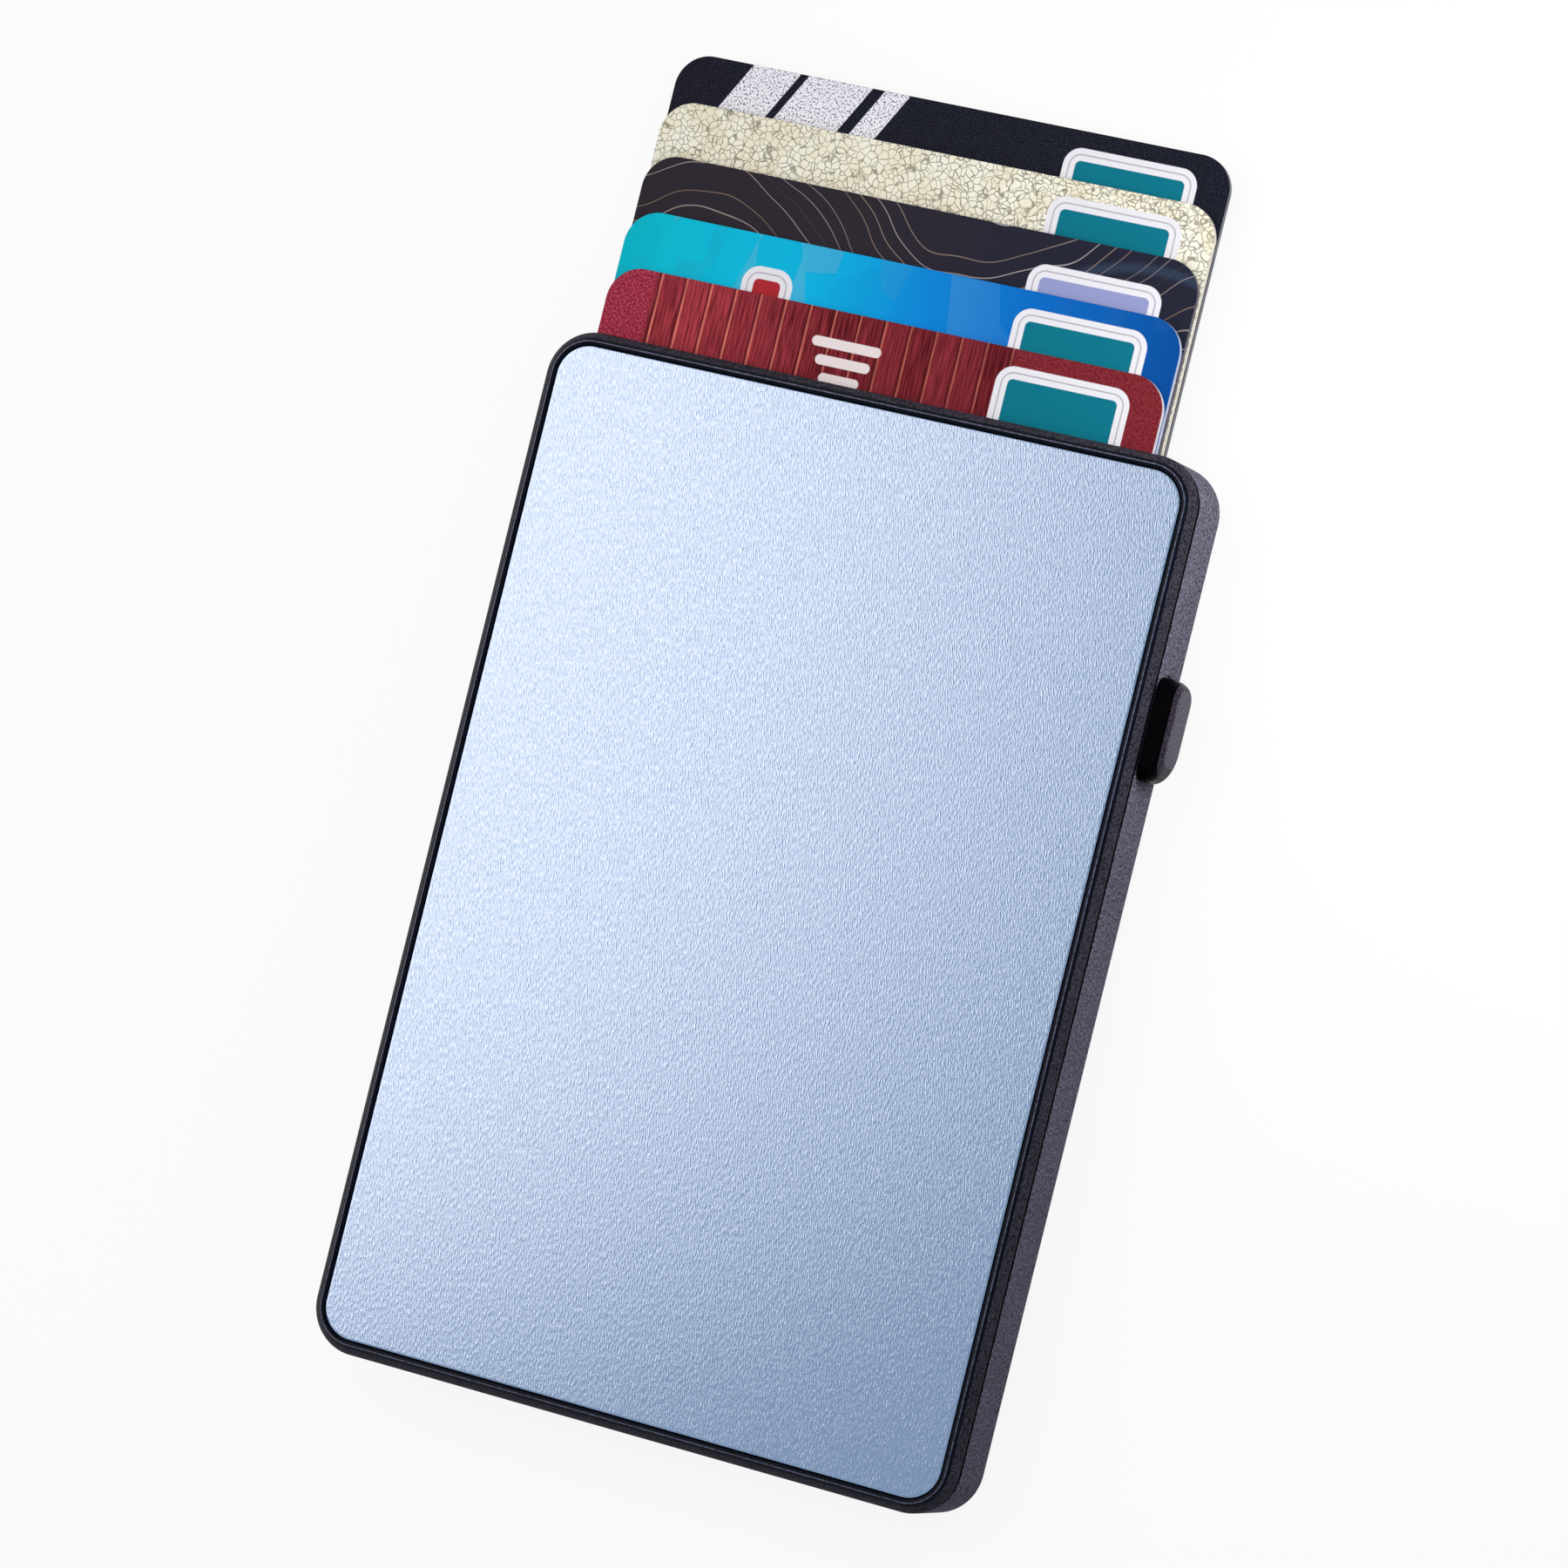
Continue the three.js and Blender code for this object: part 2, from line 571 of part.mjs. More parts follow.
// Thumb button: a steep upper end, a longer round lower end, bevelled sides and a socket for the tab.
function makeButton() {
  const base = BUTTON_WALL_GAP;
  const row = (x, share, bevel) => {
    const upper = BUTTON_UPPER_ROUND * share;
    const lower = BUTTON_LOWER_ROUND * share;
    const side = BUTTON_SIDE_BEVEL * bevel;
    const loop = roundedLoop(
      (BUTTON_LENGTH - upper - lower) / 2,
      BUTTON_WIDTH / 2 - side,
      BUTTON_CORNER - side,
    );
    return loop.map((point) => new THREE.Vector3(x, point.x + (lower - upper) / 2, point.y));
  };
  const rows = [row(base, 0, 0)];
  for (let step = 0; step <= BUTTON_STEPS; step += 1) {
    const angle = (Math.PI / 2) * (step / BUTTON_STEPS);
    const share = 1 - Math.cos(angle);
    const x = BUTTON_PROUD - BUTTON_ROUND_DEPTH * (1 - Math.sin(angle));
    rows.push(row(x, share, Math.max(0, 2 * share - 1)));
  }
  const socketHalf = TAB_THICK / 2 + TAB_CLEARANCE;
  const socket = box(
    base - CUT_OVER,
    tabBottom - buttonMidY - TAB_CLEARANCE,
    -SLOT_BEHIND_MIDDLE - socketHalf,
    base + TAB_IN_BUTTON + TAB_CLEARANCE,
    tabTop - buttonMidY + TAB_CLEARANCE,
    -SLOT_BEHIND_MIDDLE + socketHalf,
  );
  const button = piece("slide_button", loft(rows).subtract(socket), 0x1b1a1e, 0.4, 0);
  button.position.set(halfWidth, buttonMidY, buttonMidZ);
  return button;
}

// Staircase lever: each arm ends in a round nose under its own card, and the lug holds the drive slot.
function makeLever() {
  const below = stackBack - CUT_OVER;
  const above = stackFront + CUT_OVER;
  let lever = rod(LEVER_HUB_RADIUS, stackBack, stackFront);
  armReaches.forEach((reach, k) => {
    const nose = armHalf(reach);
    const arm = new THREE.Shape();
    arm.moveTo(0, armHalf(0));
    arm.lineTo(-reach, nose);
    arm.absellipse(-reach, 0, nose, nose, Math.PI / 2, Math.PI, false, 0);
    arm.absellipse(-reach, 0, nose, LEVER_LOWER_HALF, Math.PI, 1.5 * Math.PI, false, 0);
    arm.lineTo(0, -LEVER_LOWER_HALF);
    arm.closePath();
    lever = lever.add(slab(arm, stackBack, cardBacks[k] + CARD_THICK));
  });
  const near = pivotX - drivePinX;
  const far = near / Math.cos(liftAngle);
  const play = DRIVE_PIN_RADIUS + DRIVE_SLOT_PLAY;
  lever = lever.add(slab(stadium(0, 0, -far, 0, play + LEVER_SLOT_WALL), stackBack, stackFront));
  lever = lever.subtract(slab(stadium(-near, 0, -far, 0, play), below, above));
  lever = lever.subtract(rod(PIVOT_RADIUS + RUNNING_GAP, below, above));
  const mesh = piece("ejector_lever", lever, 0xe6e4de, 0.45, 0);
  mesh.rotation.z = -liftAngle;
  return mesh;
}

// The lever's pin, held in the tray behind and the cover in front.
function makePivotPin() {
  const pin = rod(PIVOT_RADIUS, BLIND_FLOOR + SEAT_GAP, coverUnder + PIVOT_SOCKET - SEAT_GAP);
  return piece("pivot_pin", pin, 0xc9ccd2, 0.3, 1);
}

// Washer between the tray's boss and the lever's hub.
function makeWasher() {
  const back = BACK_WALL + PIVOT_BOSS_HEIGHT + SEAT_GAP;
  const ring = rod(PIVOT_BOSS_RADIUS, back, back + WASHER_THICK);
  const hole = rod(PIVOT_RADIUS + HOLE_CLEARANCE, back - CUT_OVER, back + WASHER_THICK + CUT_OVER);
  return piece("pivot_washer", ring.subtract(hole), 0xf2efe6, 0.6, 0);
}

// Cards at their raised places.
function makeCards() {
  const outline = roundedLoop(CARD_WIDTH / 2, CARD_LENGTH / 2, CARD_CORNER);
  const card = loft([0, CARD_THICK].map((z) => outline.map((point) => new THREE.Vector3(point.x, point.y, z))));
  return CARD_NAMES.map((name, k) => {
    const mesh = piece(name, card, CARD_COLOURS[k], 0.35, 0);
    mesh.position.set(cardMidX, halfLength + CARD_LIFTS[k] - CARD_LENGTH / 2, cardBacks[k]);
    return mesh;
  });
}

const shell = new THREE.Group();
shell.add(makeRearBody(), makeFrontCover(), makePanel(), makeTape(), makeLeftGuide(), makeRightGuide());
shell.add(...makePads(), ...makeScrews(), ...makeStuds());

const slide = new THREE.Group();
slide.add(makeSlidePlate(), makeDrivePin(), makeButton());

const pivot = new THREE.Group();
pivot.position.set(pivotX, pivotY, 0);
pivot.add(makeLever(), makePivotPin(), makeWasher());

const cards = new THREE.Group();
cards.add(...makeCards());

const holder = new THREE.Group();
holder.add(shell, slide, pivot, cards);

export default holder;
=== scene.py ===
# Pop-up card holder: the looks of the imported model, with one section for each piece or group of like
# pieces, in the order in which the holder is put together. Metres, in the model's own frame.
import math
import bpy
import numpy as np
from mathutils import Matrix, Vector


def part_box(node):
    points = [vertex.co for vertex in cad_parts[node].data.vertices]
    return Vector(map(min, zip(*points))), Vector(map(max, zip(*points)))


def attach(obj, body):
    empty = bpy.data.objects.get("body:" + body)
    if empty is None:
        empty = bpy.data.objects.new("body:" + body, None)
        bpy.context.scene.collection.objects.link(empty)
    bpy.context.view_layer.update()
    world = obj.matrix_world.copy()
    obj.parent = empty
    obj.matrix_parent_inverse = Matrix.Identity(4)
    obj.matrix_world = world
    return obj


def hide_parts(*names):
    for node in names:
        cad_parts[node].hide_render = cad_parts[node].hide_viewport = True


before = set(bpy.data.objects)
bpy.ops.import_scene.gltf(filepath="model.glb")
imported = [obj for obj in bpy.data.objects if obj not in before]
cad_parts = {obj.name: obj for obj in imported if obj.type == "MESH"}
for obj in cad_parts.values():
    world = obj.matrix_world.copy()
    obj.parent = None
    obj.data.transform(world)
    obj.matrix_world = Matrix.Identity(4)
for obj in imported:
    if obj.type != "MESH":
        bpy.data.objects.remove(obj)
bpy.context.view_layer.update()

# Tray: the rear half of the case, one moulding with the back, the side walls, the card mouth, the slot
# for the button and the bosses inside. Purple-grey plastic with a fine grain from the mould, and a groove
# along the top of the wall, where the lid meets it, whose faces are painted near-black as shade.
MM = 0.001
CASE_CORNER = 4.4 * MM
CASE_WALL = 1.0 * MM
BACK_CHAMFER = 0.4 * MM
WALL_EDGE = 0.05 * MM
GROOVE_DEPTH = 0.4 * MM
GROOVE_WIDTH = 0.25 * MM
CORNER_STEPS = 20
EDGE_STEPS = 4
CHAMFER_ROWS = 2
GROOVE_ROWS = 2
ROUND_STEPS = 40
FIT = 0.2 * MM
BLIND_FLOOR = 0.4 * MM
CUT_OVER = 1.0 * MM
SLOT_WIDTH = 1.2 * MM
SLOT_SHOWING = 0.25 * MM
SLOT_HIDDEN = 0.45 * MM
TAB_THICK = 0.7 * MM
HOOK_PLACES = (-12 * MM, 24 * MM)
HOOK_LENGTH = 6 * MM
HOOK_DROP = 1.0 * MM
HOOK_REACH = 0.5 * MM
PIVOT_BOSS = 2.3 * MM
PIVOT_BOSS_HEIGHT = 0.4 * MM
SCREW_BOSS = 1.3 * MM
SCREW_BOSS_GAP = 0.1 * MM
SCREW_SHANK = 0.55 * MM
SCREW_WEB = 1.2 * MM
STUD_SHANK = 0.75 * MM
SMOOTH_ANGLE = math.radians(32)
CLOUD_SPREAD = 30.0
CLOUD_SHARE = 0.1
GRAIN_LIMITS = (0.26, 0.74)
GLOSS_SPREAD = 0.16
NUMBER = "NodeSocketFloat"
SCREWS = ("cover_screw_1", "cover_screw_2", "cover_screw_3")
STUDS = ("upper_guide_stud", "lower_guide_stud")


def outline(half_x, half_y, corner, centre=(0.0, 0.0)):
    """Anticlockwise path round a rectangle with round corners: four quarter circles in equal steps, joined
    by the straight sides. Gives the points and their outward directions."""
    turn = np.linspace(0, math.pi / 2, CORNER_STEPS + 1)
    angle = turn[None] + math.pi / 2 * np.arange(4)[:, None]
    outward = np.stack([np.cos(angle), np.sin(angle)], axis=-1)
    signs = np.array([(1, 1), (-1, 1), (-1, -1), (1, -1)])
    middles = signs * (half_x - corner, half_y - corner) + np.array(centre)
    points = middles[:, None] + corner * outward
    return points.reshape(-1, 2), outward.reshape(-1, 2)


def circle(radius, centre):
    """Anticlockwise circle in equal steps: its points and their outward directions."""
    angle = np.linspace(0, 2 * math.pi, ROUND_STEPS, endpoint=False)
    outward = np.stack([np.cos(angle), np.sin(angle)], axis=-1)
    return np.array(centre) + radius * outward, outward


def round_over(start, end, steps=EDGE_STEPS, power=1.0):
    """Quarter ellipse between two (inset, height) pairs, upright at the start and level at the end. Its sine
    and cosine are raised to the power, which flattens it towards a bevel as the power nears two."""
    angle = np.linspace(0, math.pi / 2, steps + 1)
    share = np.column_stack([1 - np.cos(angle) ** power, np.sin(angle) ** power])
    return np.array(start) + (np.array(end) - np.array(start)) * share


def carry(profile, path):
    """Profile carried along a path: each (inset, height) pair moves the whole path inwards by the inset and
    lifts it to the height, which gives one ring of points."""
    points, outward = path
    inset, height = np.asarray(profile).T
    flat = points[None] - inset[:, None, None] * outward[None]
    level = np.broadcast_to(height[:, None, None], (*flat.shape[:2], 1))
    return np.concatenate([flat, level], axis=2)


def add_piece(name, rings, open_start=False):
    """Mesh over rings of points: quads between neighbouring rings and one flat face at each end."""
    rows, count = rings.shape[:2]
    index = np.arange(rows * count).reshape(rows, count)
    ahead = np.roll(index, -1, axis=1)
    sides = np.stack([index[:-1], ahead[:-1], ahead[1:], index[1:]], axis=-1)
    ends = [index[-1].tolist()] if open_start else [index[0, ::-1].tolist(), index[-1].tolist()]
    mesh = bpy.data.meshes.new(name)
    mesh.from_pydata(rings.reshape(-1, 3).tolist(), [], sides.reshape(-1, 4).tolist() + ends)
    piece = bpy.data.objects.new(name, mesh)
    bpy.context.scene.collection.objects.link(piece)
    return piece


def other_finish(piece, count, start, end, number=1):
    """Gives the faces between two rings of a piece another of its materials; count is the number of points
    in a ring."""
    faces = np.zeros(len(piece.data.polygons), dtype="i4")
    piece.data.polygons.foreach_get("material_index", faces)
    faces[start * count:end * count] = number
    piece.data.polygons.foreach_set("material_index", faces)


def block(low, high):
    """Box between two corners, as a tool that shapes a piece."""
    corners = np.array([(high[0], high[1]), (low[0], high[1]), (low[0], low[1]), (high[0], low[1])])
    path = corners, np.zeros_like(corners)
    return add_piece("tool", carry([(0, low[2]), (0, high[2])], path))


def rod(radius, centre, low, high):
    """Upright round bar, as a tool that shapes a piece."""
    return add_piece("tool", carry([(0, low), (0, high)], circle(radius, centre)))


def shape(piece, operation, tools):
    """Adds tools to a piece or takes them out of it, one after another, and keeps the result as its mesh."""
    for tool in tools:
        step = piece.modifiers.new("step", "BOOLEAN")
        step.operation = operation
        step.object = tool
        step.solver = "EXACT"
    bpy.context.view_layer.update()
    shaped = piece.evaluated_get(bpy.context.evaluated_depsgraph_get())
    piece.data = bpy.data.meshes.new_from_object(shaped)
    piece.modifiers.clear()
    for tool in tools:
        bpy.data.objects.remove(tool)


def smooth(piece):
    """Smooth shading, with the sharp edges kept."""
    piece.data.shade_smooth()
    piece.data.set_sharp_from_angle(angle=SMOOTH_ANGLE)


def middle(node):
    """Middle of a CAD node's box, seen from the front."""
    low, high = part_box(node)
    return (low.x + high.x) / 2, (low.y + high.y) / 2


def paint(red, green, blue):
    """Colour given in 8-bit screen values, as the linear values that Blender mixes."""
    share = np.array([red, green, blue]) / 255
    linear = np.where(share <= 0.04045, share / 12.92, ((share + 0.055) / 1.055) ** 2.4)
    return (*linear.tolist(), 1.0)


def put(tree, kind, inputs, **settings):
    """Adds a node with its settings; an input that is a socket is linked, and any other is set."""
    node = tree.nodes.new(kind)
    for name, value in settings.items():
        setattr(node, name, value)
    for key, value in inputs.items():
        if isinstance(value, bpy.types.NodeSocket):
            tree.links.new(value, node.inputs[key])
        else:
            node.inputs[key].default_value = value
    return node


def maths(tree, operation, *values):
    """One sum on numbers or sockets."""
    return put(tree, "ShaderNodeMath", dict(enumerate(values)), operation=operation).outputs[0]


def mix(tree, share, first, second):
    """Colour that runs from first to second as the share goes from 0 to 1."""
    return put(tree, "ShaderNodeMix", {0: share, 6: first, 7: second}, data_type="RGBA").outputs[2]


def rise(tree, value, low, high):
    """0 up to low, 1 from high, and a smooth rise between."""
    span = {"Value": value, "From Min": low, "From Max": high}
    return put(tree, "ShaderNodeMapRange", span, interpolation_type="SMOOTHSTEP").outputs[0]


def noise(tree, place, scale, detail=2.0):
    """Soft noise about a half; the scale is in waves for each unit of the place."""
    spread = {"Vector": place, "Scale": scale, "Detail": detail}
    return put(tree, "ShaderNodeTexNoise", spread).outputs[0]


def object_place(tree):
    """Place on the piece, in metres."""
    return tree.nodes.new("ShaderNodeTexCoord").outputs["Object"]


def new_group(name, inputs, outputs):
    """Empty shader group with named sockets: the group, its entry and its exit."""
    group = bpy.data.node_groups.new(name, "ShaderNodeTree")
    for way, sockets in (("INPUT", inputs), ("OUTPUT", outputs)):
        for socket, kind in sockets.items():
            group.interface.new_socket(socket, in_out=way, socket_type=kind)
    return group, group.nodes.new("NodeGroupInput"), group.nodes.new("NodeGroupOutput")


def make_moulded_grain():
    """Grain of a moulded surface: fine noise of the given size over broad clouds, as a tone from 0 to 1
    and a height."""
    outputs = {"Tone": NUMBER, "Height": NUMBER}
    group, entry, leave = new_group("moulded_grain", {"Grain Size": NUMBER}, outputs)
    place = object_place(group)
    scale = maths(group, "DIVIDE", 1.0, entry.outputs["Grain Size"])
    fine = noise(group, place, scale)
    clouds = noise(group, place, maths(group, "DIVIDE", scale, CLOUD_SPREAD), detail=3.0)
    grain = maths(group, "MULTIPLY", fine, 1 - CLOUD_SHARE)
    tone = maths(group, "MULTIPLY_ADD", clouds, CLOUD_SHARE, grain)
    group.links.new(rise(group, tone, *GRAIN_LIMITS), leave.inputs["Tone"])
    group.links.new(fine, leave.inputs["Height"])
    return group


moulded_grain = make_moulded_grain()


def finish(name):
    """New material: itself, its nodes and its shader."""
    material = bpy.data.materials.new(name)
    material.use_nodes = True
    return material, material.node_tree, material.node_tree.nodes["Principled BSDF"]


def surface(tree, shader, colour, tone, spread, base, height, relief):
    """Wires a finish to its shader: the colour, a roughness that leaves the base by the spread as the tone
    goes from 0 to 1, and a surface lifted by the height, with its full relief in metres."""
    roughness = maths(tree, "MULTIPLY_ADD", tone, spread, base)
    bump = put(tree, "ShaderNodeBump", {"Height": height, "Distance": relief}).outputs[0]
    for name, socket in (("Base Color", colour), ("Roughness", roughness), ("Normal", bump)):
        tree.links.new(socket, shader.inputs[name])


def moulded(name, dark, light, grain, relief, roughness, specular=0.5, sheen=(1, 1, 1, 1)):
    """Moulded plastic: the colour runs from dark to light with the grain, which also varies the gloss and
    lifts the surface."""
    material, tree, shader = finish(name)
    pattern = put(tree, "ShaderNodeGroup", {"Grain Size": grain}, node_tree=moulded_grain).outputs
    tone = pattern["Tone"]
    colour = mix(tree, tone, dark, light)
    shader.inputs["Specular IOR Level"].default_value = specular
    shader.inputs["Specular Tint"].default_value = sheen
    base = roughness - GLOSS_SPREAD / 2
    surface(tree, shader, colour, tone, GLOSS_SPREAD, base, pattern["Height"], relief)
    return material


tray_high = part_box("rear_body")[1]
cover_low, cover_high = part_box("front_cover")
button_low, button_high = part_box("slide_button")
inner_x = tray_high.x - CASE_WALL
inner_y = tray_high.y - CASE_WALL
mouth_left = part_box("left_card_guide")[1].x
mouth_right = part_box("right_card_guide")[0].x
slot_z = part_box("slider_plate")[1].z - TAB_THICK / 2
screw_boss_top = cover_low.z + HOOK_DROP - SCREW_BOSS_GAP
groove_floor = tray_high.z - GROOVE_DEPTH
case_path = outline(tray_high.x, tray_high.y, CASE_CORNER)
tray_profile = np.vstack([
    [(BACK_CHAMFER, 0), (0, BACK_CHAMFER)],
    round_over((0, groove_floor - WALL_EDGE), (WALL_EDGE, groove_floor)),
    [(GROOVE_WIDTH, groove_floor), (GROOVE_WIDTH, tray_high.z)],
    round_over((CASE_WALL, tray_high.z - WALL_EDGE), (CASE_WALL - WALL_EDGE, tray_high.z))[::-1],
    [(CASE_WALL, CASE_WALL)],
])
tray = add_piece("tray", carry(tray_profile, case_path))
# The groove's rows take the second finish below: near-black painted shade.
seam_row = CHAMFER_ROWS + EDGE_STEPS
other_finish(tray, len(case_path[0]), seam_row, seam_row + GROOVE_ROWS)
pivot = middle("pivot_pin")
pivot_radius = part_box("pivot_pin")[1].x - pivot[0]
bosses = [rod(PIVOT_BOSS, pivot, CASE_WALL / 2, CASE_WALL + PIVOT_BOSS_HEIGHT)]
for screw in SCREWS:
    x, y = middle(screw)
    wall_y = math.copysign(inner_y + CASE_WALL / 2, y)
    bosses.append(rod(SCREW_BOSS, (x, y), CASE_WALL / 2, screw_boss_top))
    bosses.append(block(
        (x - SCREW_WEB / 2, min(y, wall_y), CASE_WALL / 2),
        (x + SCREW_WEB / 2, max(y, wall_y), screw_boss_top - SCREW_BOSS_GAP),
    ))
shape(tray, "UNION", bosses)
holes = [
    block(
        (mouth_left, inner_y - CUT_OVER, CASE_WALL),
        (mouth_right, tray_high.y + CUT_OVER, tray_high.z + CUT_OVER),
    ),
    block(
        (inner_x - CUT_OVER, button_low.y + SLOT_HIDDEN, slot_z - SLOT_WIDTH / 2),
        (tray_high.x + CUT_OVER, button_high.y + SLOT_SHOWING, slot_z + SLOT_WIDTH / 2),
    ),
    rod(pivot_radius + FIT, pivot, BLIND_FLOOR, 2 * CASE_WALL),
]
for y in HOOK_PLACES:
    holes.append(block(
        (-inner_x - HOOK_REACH - FIT, y - HOOK_LENGTH / 2 - FIT, cover_low.z - FIT),
        (-inner_x + CUT_OVER, y + HOOK_LENGTH / 2 + FIT, cover_low.z + HOOK_DROP + FIT),
    ))
for stud in STUDS:
    holes.append(rod(STUD_SHANK + FIT, middle(stud), BLIND_FLOOR, 2 * CASE_WALL))
for screw in SCREWS:
    holes.append(rod(SCREW_SHANK + FIT, middle(screw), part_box(screw)[0].z - WALL_EDGE / 2, tray_high.z))
shape(tray, "DIFFERENCE", holes)
smooth(tray)
tray.data.materials.append(moulded(
    "tray_plastic",
    dark=paint(41, 39, 48),
    light=paint(144, 138, 157),
    grain=0.26 * MM,
    relief=0.03 * MM,
    roughness=0.62,
    specular=0.015,
))
# Groove faces: near-black painted shade under the lid's edge, with the grain kept.
tray.data.materials.append(moulded(
    "seam_painted_shade",
    dark=paint(5, 4, 7),
    light=paint(20, 18, 24),
    grain=0.2 * MM,
    relief=0.01 * MM,
    roughness=0.8,
    specular=0.02,
))
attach(tray, "case")
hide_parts("rear_body")

# Felt pads: two thin strips of pressed dark felt, glued to the tray and in a pocket of the lid just
# inside the mouth, which rub on the outer cards so that none falls out.
PAD_CORNER = 0.9 * MM
PAD_EDGE = 0.22 * MM
FELT_LUMP = 0.5 * MM
FELT_FIBRE = 0.09 * MM
FELT_RELIEF = 0.05 * MM
FELT_LUMP_SHARE = 0.4
FELT_LIMITS = (0.3, 0.75)
FELT_ROUGHNESS = 0.88
FELT_SPREAD = 0.1
FELT_SHEEN = 0.4


def make_felt():
    """Pressed felt: fine crossing fibres over soft lumps, dark grey with paler flecks."""
    material, tree, shader = finish("dark_felt")
    place = object_place(tree)
    lumps = noise(tree, place, 1 / FELT_LUMP, detail=3.0)
    fibres = noise(tree, place, 1 / FELT_FIBRE, detail=4.0)
    crossed = maths(tree, "MULTIPLY", fibres, 1 - FELT_LUMP_SHARE)
    nap = maths(tree, "MULTIPLY_ADD", lumps, FELT_LUMP_SHARE, crossed)
    tone = rise(tree, nap, *FELT_LIMITS)
    colour = mix(tree, tone, paint(28, 28, 32), paint(78, 78, 84))
    shader.inputs["Sheen Weight"].default_value = FELT_SHEEN
    surface(tree, shader, colour, tone, FELT_SPREAD, FELT_ROUGHNESS, nap, FELT_RELIEF)
    return material


felt = make_felt()
for node in ("rear_felt_pad", "front_felt_pad"):
    low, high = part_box(node)
    pad_path = outline((high.x - low.x) / 2, (high.y - low.y) / 2, PAD_CORNER, middle(node))
    pad_profile = np.vstack([
        round_over((0, low.z + PAD_EDGE), (PAD_EDGE, low.z))[::-1],
        round_over((0, high.z - PAD_EDGE), (PAD_EDGE, high.z)),
    ])
    pad = add_piece(node.replace("_pad", "_strip"), carry(pad_profile, pad_path))
    smooth(pad)
    pad.data.materials.append(felt)
    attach(pad, "case")
    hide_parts(node)

# Metal of the mechanism: a stamped steel slide with a bent tab, steel pins for the lever and its drive,
# turned brass studs that guide the slide, and small cross-head steel screws for the lid.
STROKE_LIMITS = (0.25, 0.75)
METAL_SPREAD = 0.12


def vectors(tree, operation, *values):
    """One sum on vectors or sockets: a number for a length or a distance, and otherwise a vector."""
    node = put(tree, "ShaderNodeVectorMath", dict(enumerate(values)), operation=operation)
    return node.outputs["Value" if operation in ("LENGTH", "DISTANCE") else "Vector"]


def make_brushed_grain():
    """Grain of a worked metal: noise drawn out into strokes of the given width and length, which lean from Y
    by the given angle, as a tone from 0 to 1 and a height."""
    inputs = {"Stroke Width": NUMBER, "Stroke Length": NUMBER, "Lean": NUMBER}
    group, entry, leave = new_group("brushed_grain", inputs, {"Tone": NUMBER, "Height": NUMBER})
    across = maths(group, "DIVIDE", 1.0, entry.outputs["Stroke Width"])
    along = maths(group, "DIVIDE", 1.0, entry.outputs["Stroke Length"])
    pitch = put(group, "ShaderNodeCombineXYZ", {0: across, 1: along, 2: across}).outputs[0]
    turn = {"Vector": object_place(group), "Angle": entry.outputs["Lean"]}
    upright = put(group, "ShaderNodeVectorRotate", turn, rotation_type="Z_AXIS", invert=True).outputs[0]
    strokes = noise(group, vectors(group, "MULTIPLY", upright, pitch), 1.0, detail=1.5)
    group.links.new(rise(group, strokes, *STROKE_LIMITS), leave.inputs["Tone"])
    group.links.new(strokes, leave.inputs["Height"])
    return group


brushed_grain = make_brushed_grain()


def worked_metal(name, dark, light, width, length, relief, roughness, lean=0.0):
    """Worked metal: the colour and the gloss vary along the strokes, which also lift the surface."""
    material, tree, shader = finish(name)
    strokes = {"Stroke Width": width, "Stroke Length": length, "Lean": lean}
    pattern = put(tree, "ShaderNodeGroup", strokes, node_tree=brushed_grain).outputs
    tone = pattern["Tone"]
    colour = mix(tree, tone, dark, light)
    base = roughness + METAL_SPREAD / 2
    shader.inputs["Metallic"].default_value = 1.0
    surface(tree, shader, colour, tone, -METAL_SPREAD, base, pattern["Height"], relief)
    return material


def dress(material, *nodes):
    """Gives CAD nodes, whose shapes stay, their finished material."""
    for node in nodes:
        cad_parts[node].material_slots[0].material = material


stamped_steel = worked_metal(
    "stamped_steel",
    dark=paint(150, 153, 160),
    light=paint(212, 214, 220),
    width=0.08 * MM,
    length=4 * MM,
    relief=0.004 * MM,
    roughness=0.34,
)
screw_steel = worked_metal(
    "screw_steel",
    dark=paint(122, 124, 130),
    light=paint(184, 186, 192),
    width=0.1 * MM,
    length=0.3 * MM,
    relief=0.006 * MM,
    roughness=0.38,
)
turned_brass = worked_metal(
    "turned_brass",
    dark=paint(176, 140, 72),
    light=paint(222, 192, 122),
    width=0.2 * MM,
    length=0.08 * MM,
    relief=0.006 * MM,
    roughness=0.34,
)
dress(stamped_steel, "slider_plate", "drive_pin", "pivot_pin")
dress(screw_steel, *SCREWS)
dress(turned_brass, *STUDS)

# Ejector lever and its washer: one stepped moulding in slippery off-white plastic, which swings on the
# pivot pin over a thin white washer and pushes each card up by its own step.
lever_plastic = moulded(
    "lever_plastic",
    dark=paint(214, 211, 202),
    light=paint(232, 230, 223),
    grain=0.5 * MM,
    relief=0.01 * MM,
    roughness=0.42,
)
washer_plastic = moulded(
    "washer_plastic",
    dark=paint(232, 229, 220),
    light=paint(245, 243, 237),
    grain=0.3 * MM,
    relief=0.008 * MM,
    roughness=0.5,
)
dress(lever_plastic, "ejector_lever")
dress(washer_plastic, "pivot_washer")

# Card guides: two plain strips of matte black plastic, one glued along the left wall and one hung from
# the lid on the right, which keep the cards upright and away from the slide.
guide_plastic = moulded(
    "guide_plastic",
    dark=paint(18, 18, 20),
    light=paint(40, 40, 44),
    grain=0.2 * MM,
    relief=0.016 * MM,
    roughness=0.6,
)
dress(guide_plastic, "left_card_guide", "right_card_guide")
